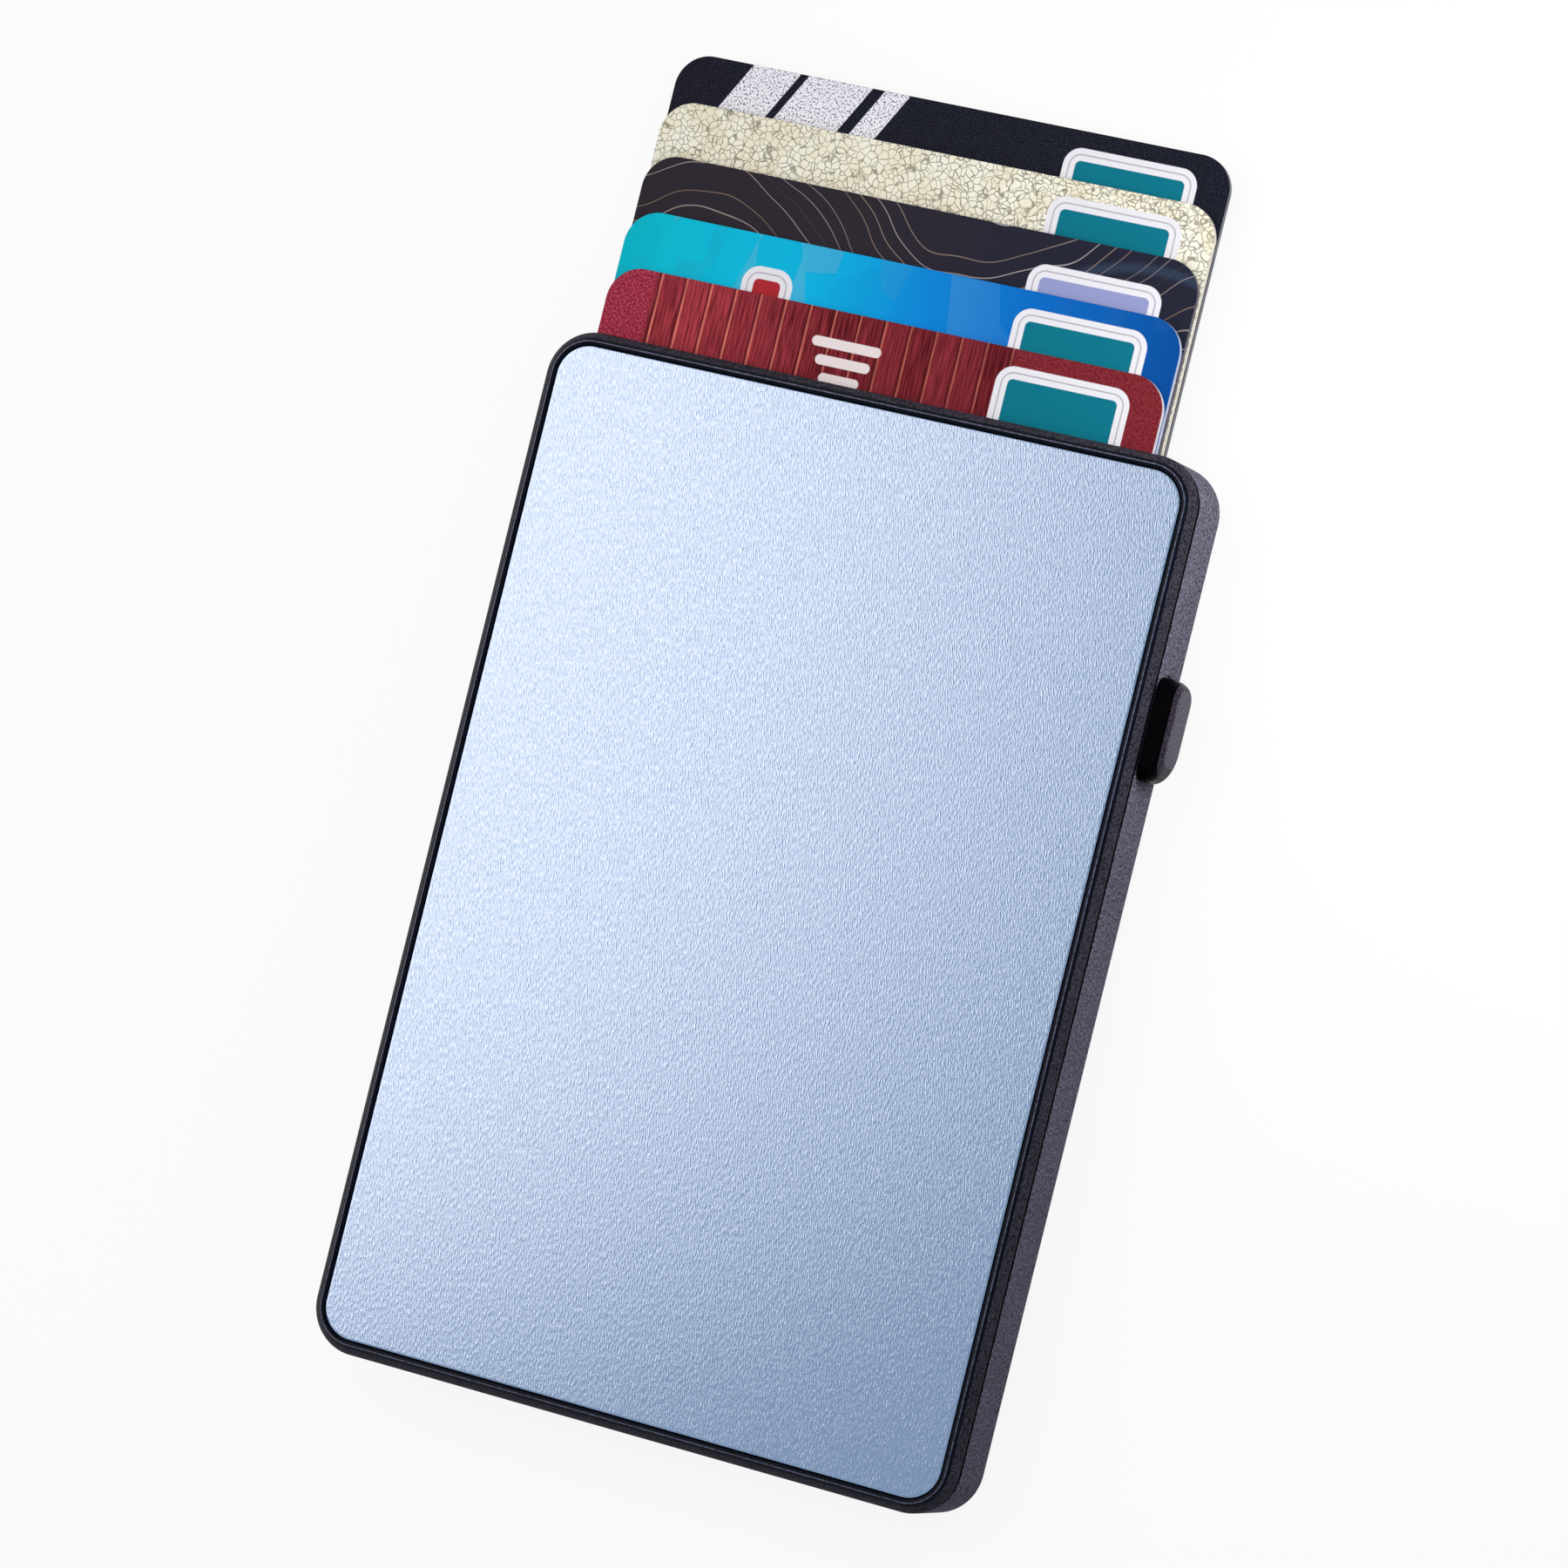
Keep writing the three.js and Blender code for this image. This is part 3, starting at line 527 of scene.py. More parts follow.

# Thumb button: a small black moulding pressed on the slide's tab outside the right wall. Its upper end is
# steep, its lower end is drawn out in a longer round, and the long sides are bevelled. The flanks are
# polished and painted near-black as shade. The face and the bevels have a fine grain and are painted
# paler as painted light, the face most.
BUTTON_CORNER = 1.5 * MM
BUTTON_UPPER_ROUND = 1.2 * MM
BUTTON_LOWER_ROUND = 2.5 * MM
BUTTON_ROUND_DEPTH = 1.6 * MM
BUTTON_SIDE_BEVEL = 0.65 * MM
BUTTON_BEVEL_START = 0.25
BUTTON_STEPS = 14
BUTTON_BEVEL_ROW = 8
BUTTON_FACE_ROW = 12
BUTTON_SHEEN = (0.88, 0.84, 1.0, 1)
TAB_BELOW_TOP = 1.0 * MM
TAB_WIDTH = 2.2 * MM
TAB_PLAY = 0.15 * MM


def button_rings():
    """Rings that rise from the wall: an upright foot, then a quarter circle in which the upper and the lower
    end draw in by their own rounds, and the sides bevel over all but its first part."""
    turn = np.linspace(0, math.pi / 2, BUTTON_STEPS + 1)
    share = np.concatenate([[0], 1 - np.cos(turn)])
    crown = button_high.x - BUTTON_ROUND_DEPTH * (1 - np.sin(turn))
    stand = np.concatenate([[button_low.x], crown])
    bevel = BUTTON_SIDE_BEVEL * np.clip((share - BUTTON_BEVEL_START) / (1 - BUTTON_BEVEL_START), 0, None)
    middle_y = (button_low.y + button_high.y) / 2
    middle_z = (button_low.z + button_high.z) / 2
    rings = []
    for x, drawn, side in zip(stand, share, bevel):
        upper = BUTTON_UPPER_ROUND * drawn
        lower = BUTTON_LOWER_ROUND * drawn
        half_y = (button_high.y - button_low.y - upper - lower) / 2
        half_z = (button_high.z - button_low.z) / 2 - side
        flat = outline(half_y, half_z, BUTTON_CORNER - side, (middle_y + (lower - upper) / 2, middle_z))[0]
        rings.append(np.column_stack([np.full(len(flat), x), flat]))
    return np.array(rings)


rings = button_rings()
button = add_piece("thumb_button", rings)
# The face rows take a pale painted-light finish, and the bevel rows a half-lit one.
other_finish(button, rings.shape[1], BUTTON_FACE_ROW, len(rings))
other_finish(button, rings.shape[1], BUTTON_BEVEL_ROW, BUTTON_FACE_ROW, number=2)
tab_low = slot_z - TAB_THICK / 2 - TAB_PLAY
tab_top = button_high.y - TAB_BELOW_TOP
shape(button, "DIFFERENCE", [block(
    (button_low.x - CUT_OVER, tab_top - TAB_WIDTH - TAB_PLAY, tab_low),
    (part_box("slider_plate")[1].x + TAB_PLAY, tab_top + TAB_PLAY, tab_low + TAB_THICK + 2 * TAB_PLAY),
)])
smooth(button)
# Flanks: the black plastic painted darker still, as shade.
button.data.materials.append(moulded(
    "button_plastic",
    dark=paint(1, 1, 2),
    light=paint(6, 5, 8),
    grain=0.2 * MM,
    relief=0.01 * MM,
    roughness=0.3,
    specular=0.02,
    sheen=BUTTON_SHEEN,
))
# Face: the same black plastic painted pale grey as painted light.
button.data.materials.append(moulded(
    "button_painted_lit_face",
    dark=paint(38, 36, 43),
    light=paint(116, 112, 125),
    grain=0.2 * MM,
    relief=0.014 * MM,
    roughness=0.5,
    specular=0.06,
))
# Bevels: the same black plastic painted halfway between, as half light.
button.data.materials.append(moulded(
    "button_painted_half_lit_bevel",
    dark=paint(18, 16, 21),
    light=paint(72, 64, 76),
    grain=0.2 * MM,
    relief=0.014 * MM,
    roughness=0.45,
    specular=0.05,
))
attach(button, "slide")
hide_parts("slide_button")

# Cards: five blanks of the standard size, each a plastic core between two printed and laminated faces, with
# a tiny break on the edges. They stand loose in the bay, fanned out by the lever's steps. The prints are
# drawn in millimetres from the middle of a card's top edge.
CARD_CORNER = 3.18 * MM
CARD_BREAK = 0.05 * MM
FILM_THICK = 0.09 * MM
FILM_ROUGHNESS = 0.3
FILM_SPREAD = 0.2
FILM_SPECULAR = 0.04
FILM_RELIEF = 0.004 * MM
SCRATCH_LEAN = math.radians(28)
SCRATCH_PITCH = (9000, 260, 260)
SCRATCHES = {"waves": 1.0, "detail": 1.0, "limits": (0.62, 0.78)}
SCRATCH_DULLING = 0.3
SCRATCH_DEPTH = 0.4
MOTTLE_WAVES = 1800.0
CORE_PITCH = (700, 700, 9000)
CORE_LIMITS = (0.35, 0.7)
CORE_ROUGHNESS = 0.4
CORE_SPREAD = 0.2
CORE_RELIEF = 0.006 * MM
BACK_TINT = {"waves": 2.4, "detail": 4.0, "limits": (0.3, 0.7)}
STRIPE_FROM_EDGE = 4.0
STRIPE_WIDTH = 12.7
STRIPE_BLACK = paint(24, 21, 20)
EDGE_SOFT = 0.08
LABEL_CENTRE = (17.6, -6.4)
LABEL_HALVES = (6.4, 4.9)
LABEL_CORNER = 1.7
LABEL_LINE = 0.62
LABEL_LINE_EDGE = (0.03, 0.1)
LABEL_LINE_INK = 0.55
LABEL_BORDER = 1.15
LABEL_WHITE = paint(236, 234, 238)
LABEL_GREY = paint(110, 106, 116)
TEAL = paint(8, 117, 136)
FRONT_FACE = 0
CORE_FACE = 1
BACK_FACE = 2


def fall(tree, value, low, high):
    """1 up to low, 0 from high, and a smooth fall between."""
    return maths(tree, "SUBTRACT", 1.0, rise(tree, value, low, high))


def specks(tree, place, waves, detail, limits):
    """Soft noise cut at two limits: 0 up to the first, and 1 from the second."""
    return rise(tree, noise(tree, place, waves, detail), *limits)


def make_print_film():
    """Clear film over a print: faint mottling and hair scratches that lean to one side, as a dullness and a
    height."""
    group, _, leave = new_group("print_film", {}, {"Dullness": NUMBER, "Height": NUMBER})
    place = object_place(group)
    leaned = put(group, "ShaderNodeMapping", {
        "Vector": place,
        "Rotation": (0, 0, SCRATCH_LEAN),
        "Scale": SCRATCH_PITCH,
    }).outputs[0]
    scratches = specks(group, leaned, **SCRATCHES)
    mottle = noise(group, place, MOTTLE_WAVES, detail=3.0)
    for name, share in (("Dullness", SCRATCH_DULLING), ("Height", -SCRATCH_DEPTH)):
        group.links.new(maths(group, "MULTIPLY_ADD", scratches, share, mottle), leave.inputs[name])
    return group


print_film = make_print_film()


def make_label():
    """Plain label on a print: a box with round corners, from its centre and half sizes, with a white border,
    one thin line in the border and a coloured middle. Takes the colour under it and gives the new one."""
    colour, vector = "NodeSocketColor", "NodeSocketVector"
    group, entry, leave = new_group(
        "plain_label",
        {"Under": colour, "Place": vector, "Centre": vector, "Halves": vector, "Middle": colour},
        {"Colour": colour},
    )
    given = entry.outputs
    away = vectors(group, "ABSOLUTE", vectors(group, "SUBTRACT", given["Place"], given["Centre"]))
    past = vectors(group, "SUBTRACT", away, given["Halves"])
    past = vectors(group, "ADD", past, (LABEL_CORNER, LABEL_CORNER, 0))
    corner = vectors(group, "LENGTH", vectors(group, "MAXIMUM", past, (0, 0, 0)))
    sides = put(group, "ShaderNodeSeparateXYZ", {0: past}).outputs
    within = maths(group, "MINIMUM", maths(group, "MAXIMUM", sides[0], sides[1]), 0.0)
    inside = maths(group, "SUBTRACT", LABEL_CORNER, maths(group, "ADD", corner, within))
    off_line = maths(group, "ABSOLUTE", maths(group, "SUBTRACT", inside, LABEL_LINE))
    line = maths(group, "MULTIPLY", fall(group, off_line, *LABEL_LINE_EDGE), LABEL_LINE_INK)
    border = mix(group, line, LABEL_WHITE, LABEL_GREY)
    past_border = rise(group, inside, LABEL_BORDER, LABEL_BORDER + EDGE_SOFT)
    face = mix(group, past_border, border, given["Middle"])
    shown = rise(group, inside, 0.0, EDGE_SOFT)
    group.links.new(mix(group, shown, given["Under"], face), leave.inputs["Colour"])
    return group


plain_label = make_label()


def print_place(tree, node):
    """Place on a card in millimetres from the middle of its top edge, across and up: together and apart."""
    low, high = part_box(node)
    centre = ((low.x + high.x) / 2 / MM, high.y / MM)
    place = put(tree, "ShaderNodeMapping", {
        "Vector": object_place(tree),
        "Location": (-centre[0], -centre[1], 0),
        "Scale": (1 / MM, 1 / MM, 0),
    }).outputs[0]
    apart = put(tree, "ShaderNodeSeparateXYZ", {0: place})
    return place, apart.outputs[0], apart.outputs[1]


def label(tree, under, place, centre, halves, colour):
    """A plain label placed on a print."""
    node = put(tree, "ShaderNodeGroup", {
        "Under": under,
        "Place": place,
        "Centre": (*centre, 0),
        "Halves": (*halves, 0),
        "Middle": colour,
    }, node_tree=plain_label)
    return node.outputs["Colour"]


def laminate(tree, shader, colour):
    """Puts a printed colour under the clear film."""
    film = put(tree, "ShaderNodeGroup", {}, node_tree=print_film).outputs
    shader.inputs["Specular IOR Level"].default_value = FILM_SPECULAR
    dullness = film["Dullness"]
    surface(tree, shader, colour, dullness, FILM_SPREAD, FILM_ROUGHNESS, film["Height"], FILM_RELIEF)


def make_core(node, dark, light):
    """Cut edge of a card: plastic core smeared along the cut, from dark to light."""
    material, tree, shader = finish(node + "_core")
    smear = put(tree, "ShaderNodeMapping", {"Vector": object_place(tree), "Scale": CORE_PITCH}).outputs[0]
    tone = noise(tree, smear, 1.0, detail=3.0)
    colour = mix(tree, rise(tree, tone, *CORE_LIMITS), dark, light)
    surface(tree, shader, colour, tone, CORE_SPREAD, CORE_ROUGHNESS, tone, CORE_RELIEF)
    return material


def make_back(node, colour, light):
    """Back of a card: a plain tint with fine print noise, and a dark magnetic band along the left edge."""
    material, tree, shader = finish(node + "_back")
    place, across, _ = print_place(tree, node)
    half = (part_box(node)[1].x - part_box(node)[0].x) / 2 / MM
    tint = mix(tree, specks(tree, place, **BACK_TINT), colour, light)
    into = maths(tree, "SUBTRACT", maths(tree, "ADD", across, half), STRIPE_FROM_EDGE)
    left = maths(tree, "SUBTRACT", STRIPE_WIDTH, into)
    stripe = rise(tree, maths(tree, "MINIMUM", into, left), 0.0, EDGE_SOFT)
    laminate(tree, shader, mix(tree, stripe, tint, STRIPE_BLACK))
    return material


def add_card(node, name, body, front, core, back):
    """A card blank: the outline carried up its thickness with a small break on both edges. The front face
    takes a print, and the cut edge and the back face take a pair of colours each."""
    low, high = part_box(node)
    path = outline((high.x - low.x) / 2, (high.y - low.y) / 2, CARD_CORNER, middle(node))
    profile = [
        (CARD_BREAK, low.z),
        (0, low.z + CARD_BREAK),
        (0, low.z + FILM_THICK),
        (0, high.z - FILM_THICK),
        (0, high.z - CARD_BREAK),
        (CARD_BREAK, high.z),
    ]
    card = add_piece(name, carry(profile, path))
    bands = np.repeat([BACK_FACE, CORE_FACE, CORE_FACE, CORE_FACE, FRONT_FACE], len(path[0]))
    card.data.polygons.foreach_set("material_index", np.append(bands, [BACK_FACE, FRONT_FACE]).astype("i4"))
    smooth(card)
    for material in (front, make_core(node, *core), make_back(node, *back)):
        card.data.materials.append(material)
    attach(card, body)
    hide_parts(node)


# Red card, the front one: dark wood-like slats with thin pink lines between them, a speckled strip on the
# left and a plain grained field on the right, with three pale bars and a plain label.
SLAT = 2.45
SLATS_FROM = -22.6
SLATS_TO = 12.4
SLATS_FADE = 0.3
SLATS_DUSK = 0.5
SLAT_TONE = 0.3
STREAK_PITCH = (4.2, 0.2, 1)
STREAKS = {"waves": 1.6, "detail": 5.0, "limits": (0.3, 0.72)}
SLAT_GROOVE_OFF = 0.08
SLAT_GROOVE_EDGE = (0.025, 0.07)
SLAT_GROOVE_INK = 0.6
SLAT_LINE_EDGE = (0.02, 0.055)
SLAT_LINE_INK = 0.4
SPECK_WAVES = 5.0
STRIP_LIMITS = (0.4, 0.68)
FIELD_LIMITS = (0.3, 0.7)
FIELD_FADE = 0.2
BAR_PLACES = (-3.0, -4.6, -6.2)
BAR_HALVES = (2.9, 2.2, 1.5)
BAR_MIDDLE = -3.2
BAR_THICK = 0.42
BAR_WHITE = paint(240, 227, 226)


def off_whole(tree, value):
    """Distance to the nearest whole number."""
    return maths(tree, "PINGPONG", value, 0.5)


def red_print():
    """Slats from the remainder of the place across over one slat; streaks from noise drawn out upwards; bars
    from the distance to a short level line."""
    material, tree, shader = finish("red_print")
    place, across, up = print_place(tree, "red_card")
    streak = specks(tree, vectors(tree, "MULTIPLY", place, STREAK_PITCH), **STREAKS)
    slat = maths(tree, "DIVIDE", across, SLAT)
    step = put(tree, "ShaderNodeTexWhiteNoise", {"W": maths(tree, "FLOOR", slat)}, noise_dimensions="1D")
    grain = maths(tree, "MULTIPLY", streak, 1 - SLAT_TONE)
    shade = maths(tree, "MULTIPLY_ADD", step.outputs[0], SLAT_TONE, grain)
    wood = mix(tree, shade, paint(76, 8, 17), paint(196, 70, 82))
    off_groove = off_whole(tree, maths(tree, "ADD", slat, SLAT_GROOVE_OFF))
    groove = maths(tree, "MULTIPLY", fall(tree, off_groove, *SLAT_GROOVE_EDGE), SLAT_GROOVE_INK)
    wood = mix(tree, groove, wood, paint(50, 4, 10))
    line = fall(tree, off_whole(tree, slat), *SLAT_LINE_EDGE)
    ink = maths(tree, "MULTIPLY_ADD", streak, 1 - SLAT_LINE_INK, SLAT_LINE_INK)
    slats = mix(tree, maths(tree, "MULTIPLY", line, ink), wood, paint(240, 134, 116))
    dusk = maths(tree, "MULTIPLY", rise(tree, across, SLATS_FROM, SLATS_TO), SLATS_DUSK)
    slats = mix(tree, dusk, slats, paint(58, 5, 11))
    speck = noise(tree, place, SPECK_WAVES)
    strip = mix(tree, rise(tree, speck, *STRIP_LIMITS), paint(140, 32, 54), paint(194, 76, 96))
    field = mix(tree, rise(tree, speck, *FIELD_LIMITS), paint(104, 22, 30), paint(144, 50, 59))
    colour = mix(tree, rise(tree, across, SLATS_FROM - SLATS_FADE, SLATS_FROM + SLATS_FADE), strip, slats)
    colour = mix(tree, rise(tree, across, SLATS_TO, SLATS_TO + FIELD_FADE), colour, field)
    for height, half in zip(BAR_PLACES, BAR_HALVES):
        aside = maths(tree, "ABSOLUTE", maths(tree, "SUBTRACT", across, BAR_MIDDLE))
        beyond = maths(tree, "MAXIMUM", maths(tree, "SUBTRACT", aside, half), 0.0)
        above = maths(tree, "SUBTRACT", up, height)
        away = vectors(tree, "LENGTH", put(tree, "ShaderNodeCombineXYZ", {0: beyond, 1: above}).outputs[0])
        bar = fall(tree, away, BAR_THICK, BAR_THICK + EDGE_SOFT)
        colour = mix(tree, bar, colour, BAR_WHITE)
    colour = label(tree, colour, place, LABEL_CENTRE, LABEL_HALVES, TEAL)
    laminate(tree, shader, colour)
    return material


add_card(
    "red_card",
    name="card_red",
    body="card_1",
    front=red_print(),
    core=(paint(206, 203, 208), paint(243, 242, 242)),
    back=(paint(112, 30, 38), paint(128, 40, 48)),
)

# Blue card: a tint that runs from teal through bright blue to deep blue, broken into soft slanting facets,
# with one small white-edged red tab and a plain label.
BLUE_STOPS = (
    (0.0, paint(4, 194, 210)),
    (0.3, paint(6, 194, 234)),
    (0.55, paint(8, 137, 218)),
    (0.75, paint(5, 106, 194)),
    (1.0, paint(3, 74, 150)),
)
CARD_ACROSS = 54.0
FACET_LEAN = math.radians(38)
FACET_PITCH = (0.3, 0.11, 1)
FACET_SOFT = 0.03
FACET_BRIGHT = (0.6, 1.0)
FOLD_EDGE = (-10.0, 16.0)
FOLD_SHADE = 0.16
FLAT_SHADE = 0.05
FOLD_SHINE = 0.14
FLAT_SHINE = 0.03
RED_TAB_CENTRE = (-12.4, -5.6)
RED_TAB_HALVES = (2.5, 2.8)


def ramp(tree, share, stops):
    """Colour that runs through the stops as the share goes from 0 to 1."""
    node = put(tree, "ShaderNodeValToRGB", {0: share})
    band = node.color_ramp
    while len(band.elements) < len(stops):
        band.elements.new(0.5)
    for element, (position, colour) in zip(band.elements, stops):
        element.position = position
        element.color = colour
    return node.outputs[0]


def blue_print():
    """The run of colour follows the place across; the facets are the tones of large slanted cells."""
    material, tree, shader = finish("blue_print")
    place, across, _ = print_place(tree, "blue_card")
    tint = ramp(tree, maths(tree, "MULTIPLY_ADD", across, 1 / CARD_ACROSS, 0.5), BLUE_STOPS)
    slanted = put(tree, "ShaderNodeMapping", {
        "Vector": place,
        "Rotation": (0, 0, FACET_LEAN),
        "Scale": FACET_PITCH,
    }).outputs[0]
    spread = {"Vector": slanted, "Scale": 1.0, "Smoothness": FACET_SOFT}
    cells = put(tree, "ShaderNodeTexVoronoi", spread, feature="SMOOTH_F1")
    facet = put(tree, "ShaderNodeSeparateColor", {0: cells.outputs["Color"]}).outputs[0]
    fold = fall(tree, across, *FOLD_EDGE)
    shade = maths(tree, "MULTIPLY", facet, maths(tree, "MULTIPLY_ADD", fold, FOLD_SHADE, FLAT_SHADE))
    colour = mix(tree, shade, tint, paint(4, 70, 130))
    bright = rise(tree, facet, *FACET_BRIGHT)
    shine = maths(tree, "MULTIPLY", bright, maths(tree, "MULTIPLY_ADD", fold, FOLD_SHINE, FLAT_SHINE))
    colour = mix(tree, shine, colour, paint(150, 220, 240))
    colour = label(tree, colour, place, LABEL_CENTRE, LABEL_HALVES, TEAL)
    colour = label(tree, colour, place, RED_TAB_CENTRE, RED_TAB_HALVES, paint(176, 42, 52))
    laminate(tree, shader, colour)
    return material


add_card(
    "blue_card",
    name="card_blue",
    body="card_2",
    front=blue_print(),
    core=(paint(150, 164, 196), paint(226, 232, 242)),
    back=(paint(20, 96, 150), paint(30, 110, 166)),
)

# Line card: purple-black to navy, with groups of thin bronze and pale lines that run in long waves, a soft
# blue sweep on the right and a pale lilac label.
WAVE_LENGTH = 8.5
WAVE_HEIGHT = 6.0
WAVE_START = 0.9
LINES_FOR_UNIT = 0.85
LINE_SLOPE = 0.8
LINE_EDGE = (0.012, 0.05)
LINE_INK = 0.85
LINE_GROUPS = {"waves": 0.34, "detail": 1.0, "limits": (0.44, 0.54)}
LINE_METALS = {"waves": 0.9, "detail": 1.0, "limits": (0.4, 0.6)}
DRIFT_WAVES = 0.09
DRIFT_HEIGHT = 5.0
NAVY_EDGE = (-8.0, 16.0)
GROUND_WAVES = 6.0
GROUND_INK = 0.25
SWEEP_CENTRE = (23.0, -17.5, 0)
SWEEP_RADIUS = 16.2
SWEEP_EDGE = (0.1, 0.75)
SWEEP_INK = 0.12
LOW_LABEL_CENTRE = (17.6, -7.6)


def line_print():
    """The lines are the levels of a field: the height on the card plus a long sine across it and some noise.
    The sweep is the distance to a circle."""
    material, tree, shader = finish("line_print")
    place, across, up = print_place(tree, "line_card")
    ground = mix(tree, rise(tree, across, *NAVY_EDGE), paint(44, 39, 47), paint(30, 33, 50))
    mottle = maths(tree, "MULTIPLY", noise(tree, place, GROUND_WAVES, detail=3.0), GROUND_INK)
    ground = mix(tree, mottle, ground, paint(64, 58, 68))
    wave = maths(tree, "SINE", maths(tree, "MULTIPLY_ADD", across, 1 / WAVE_LENGTH, WAVE_START))
    drift = maths(tree, "MULTIPLY", noise(tree, place, DRIFT_WAVES, detail=1.0), DRIFT_HEIGHT)
    slope = maths(tree, "MULTIPLY_ADD", up, LINE_SLOPE, drift)
    field = maths(tree, "MULTIPLY_ADD", wave, WAVE_HEIGHT, slope)
    line = fall(tree, off_whole(tree, maths(tree, "MULTIPLY", field, LINES_FOR_UNIT)), *LINE_EDGE)
    level = put(tree, "ShaderNodeCombineXYZ", {0: field}).outputs[0]
    line = maths(tree, "MULTIPLY", line, specks(tree, level, **LINE_GROUPS))
    metal = mix(tree, specks(tree, level, **LINE_METALS), paint(158, 132, 112), paint(186, 182, 188))
    colour = mix(tree, maths(tree, "MULTIPLY", line, LINE_INK), ground, metal)
    off_sweep = maths(tree, "SUBTRACT", vectors(tree, "DISTANCE", place, SWEEP_CENTRE), SWEEP_RADIUS)
    sweep = fall(tree, maths(tree, "ABSOLUTE", off_sweep), *SWEEP_EDGE)
    colour = mix(tree, maths(tree, "MULTIPLY", sweep, SWEEP_INK), colour, paint(92, 130, 164))
    colour = label(tree, colour, place, LOW_LABEL_CENTRE, LABEL_HALVES, paint(150, 156, 200))
    laminate(tree, shader, colour)
    return material


add_card(
    "line_card",
    name="card_lines",
    body="card_3",
    front=line_print(),
    core=(paint(46, 42, 52), paint(98, 92, 104)),
    back=(paint(40, 38, 46), paint(52, 50, 60)),
)

# Gold card: cream with a fine dark network of cells like cracked glaze, which grow curlier to the right,
# and a plain label.
CELL = 0.62
PUSH_WAVES = 0.9
PUSH_MIDDLE = (0.5, 0.5, 0.5)
PUSH_REACH = 0.6
CURL_EDGE = (-4.0, 18.0)
CURL_REACH = 1.1
CURL_WIDTH = 0.05
CRACK_CORE = 0.02
CRACK_WIDTH = 0.085
CRACK_INK = 0.32
CRACK_FADE_INK = 0.4
CRACK_FADES = {"waves": 0.7, "detail": 2.0, "limits": (0.28, 0.5)}
CREAMS = {"waves": 0.35, "detail": 3.0, "limits": (0.35, 0.65)}


def gold_print():
    """The network is the edges of small cells whose places are pushed about by noise, more to the right."""
    material, tree, shader = finish("gold_print")
    place, across, _ = print_place(tree, "gold_card")
    push = put(tree, "ShaderNodeTexNoise", {"Vector": place, "Scale": PUSH_WAVES, "Detail": 1.0})
    push = vectors(tree, "SUBTRACT", push.outputs["Color"], PUSH_MIDDLE)
    curl = rise(tree, across, *CURL_EDGE)
    reach = maths(tree, "MULTIPLY_ADD", curl, CURL_REACH, PUSH_REACH)
    bent = vectors(tree, "ADD", place, vectors(tree, "MULTIPLY", push, reach))
    spread = {"Vector": bent, "Scale": 1 / CELL}
    cells = put(tree, "ShaderNodeTexVoronoi", spread, feature="DISTANCE_TO_EDGE")
    width = maths(tree, "MULTIPLY_ADD", curl, CURL_WIDTH, CRACK_WIDTH)
    crack = fall(tree, cells.outputs[0], CRACK_CORE, width)
    cream = mix(tree, specks(tree, place, **CREAMS), paint(243, 236, 209), paint(251, 247, 229))
    ink = maths(tree, "MULTIPLY_ADD", specks(tree, place, **CRACK_FADES), CRACK_FADE_INK, CRACK_INK)
    drawn = maths(tree, "MULTIPLY", crack, ink)
    colour = mix(tree, drawn, cream, paint(88, 80, 54))
    colour = label(tree, colour, place, LABEL_CENTRE, LABEL_HALVES, TEAL)
    laminate(tree, shader, colour)
    return material


add_card(
    "gold_card",
    name="card_gold",
    body="card_4",
    front=gold_print(),
    core=(paint(214, 206, 186), paint(246, 241, 226)),
    back=(paint(206, 196, 156), paint(220, 212, 178)),
)

# Black card, the rear one: near-black with a faint sparkle, three speckled silver bands that slant across
# its left half and a plain label.
BAND_LEAN = 0.55
BANDS = ((-17.5, 2.3), (-11.2, 3.1), (-5.6, 1.2))
SPARKLES = {"waves": 9.0, "detail": 2.0, "limits": (0.5, 0.8)}
SILVER_SPECKS = {"waves": 5.5, "detail": 3.0, "limits": (0.36, 0.52)}


def black_print():
    """The bands are steps in the place across, which is sheared by the place up; the specks are noise cut at
    two limits."""
    material, tree, shader = finish("black_print")
    place, across, up = print_place(tree, "black_card")
    ground = mix(tree, specks(tree, place, **SPARKLES), paint(21, 23, 34), paint(70, 74, 92))
    silver = mix(tree, specks(tree, place, **SILVER_SPECKS), paint(112, 112, 132), paint(249, 248, 253))
    leaned = maths(tree, "MULTIPLY_ADD", up, -BAND_LEAN, across)
    colour = ground
    for centre, half in BANDS:
        away = maths(tree, "ABSOLUTE", maths(tree, "SUBTRACT", leaned, centre))
        colour = mix(tree, fall(tree, away, half, half + EDGE_SOFT), colour, silver)
    colour = label(tree, colour, place, LABEL_CENTRE, LABEL_HALVES, TEAL)
    laminate(tree, shader, colour)
    return material


add_card(
    "black_card",
    name="card_black",
    body="card_5",
    front=black_print(),
    core=(paint(66, 66, 74), paint(134, 133, 142)),
    back=(paint(20, 21, 26), paint(34, 35, 42)),
)

# Lid: the black front half of the case, a plate that drops between the walls with a rounded rim standing
# around the panel. Satin plastic, held by two hooks on the left and three screws under the panel; the
# rim's lower part is grained and painted grey as the light it catches, and its crest carries a paler
# painted highlight.
COVER_FLANGE = 1.25 * MM
COVER_PLATE = 1.0 * MM
PLATE_GAP = 0.2 * MM
RIM_EDGE = 0.12 * MM
RIM_FLATNESS = 1.55
RIM_CREST = 0.9 * MM
RIM_WIDTH = 1.25 * MM
RIM_FALL = 0.14 * MM
RIM_STEPS = 18
SKIRT_STEPS = 12
CREST_OUTER_STEPS = 2
PLATE_ROWS = 2
PIVOT_SOCKET = 0.5 * MM
SCREW_HEAD = 1.0 * MM
SCREW_HEAD_SEAT = 0.35 * MM
PAD_ROOM = 0.05 * MM
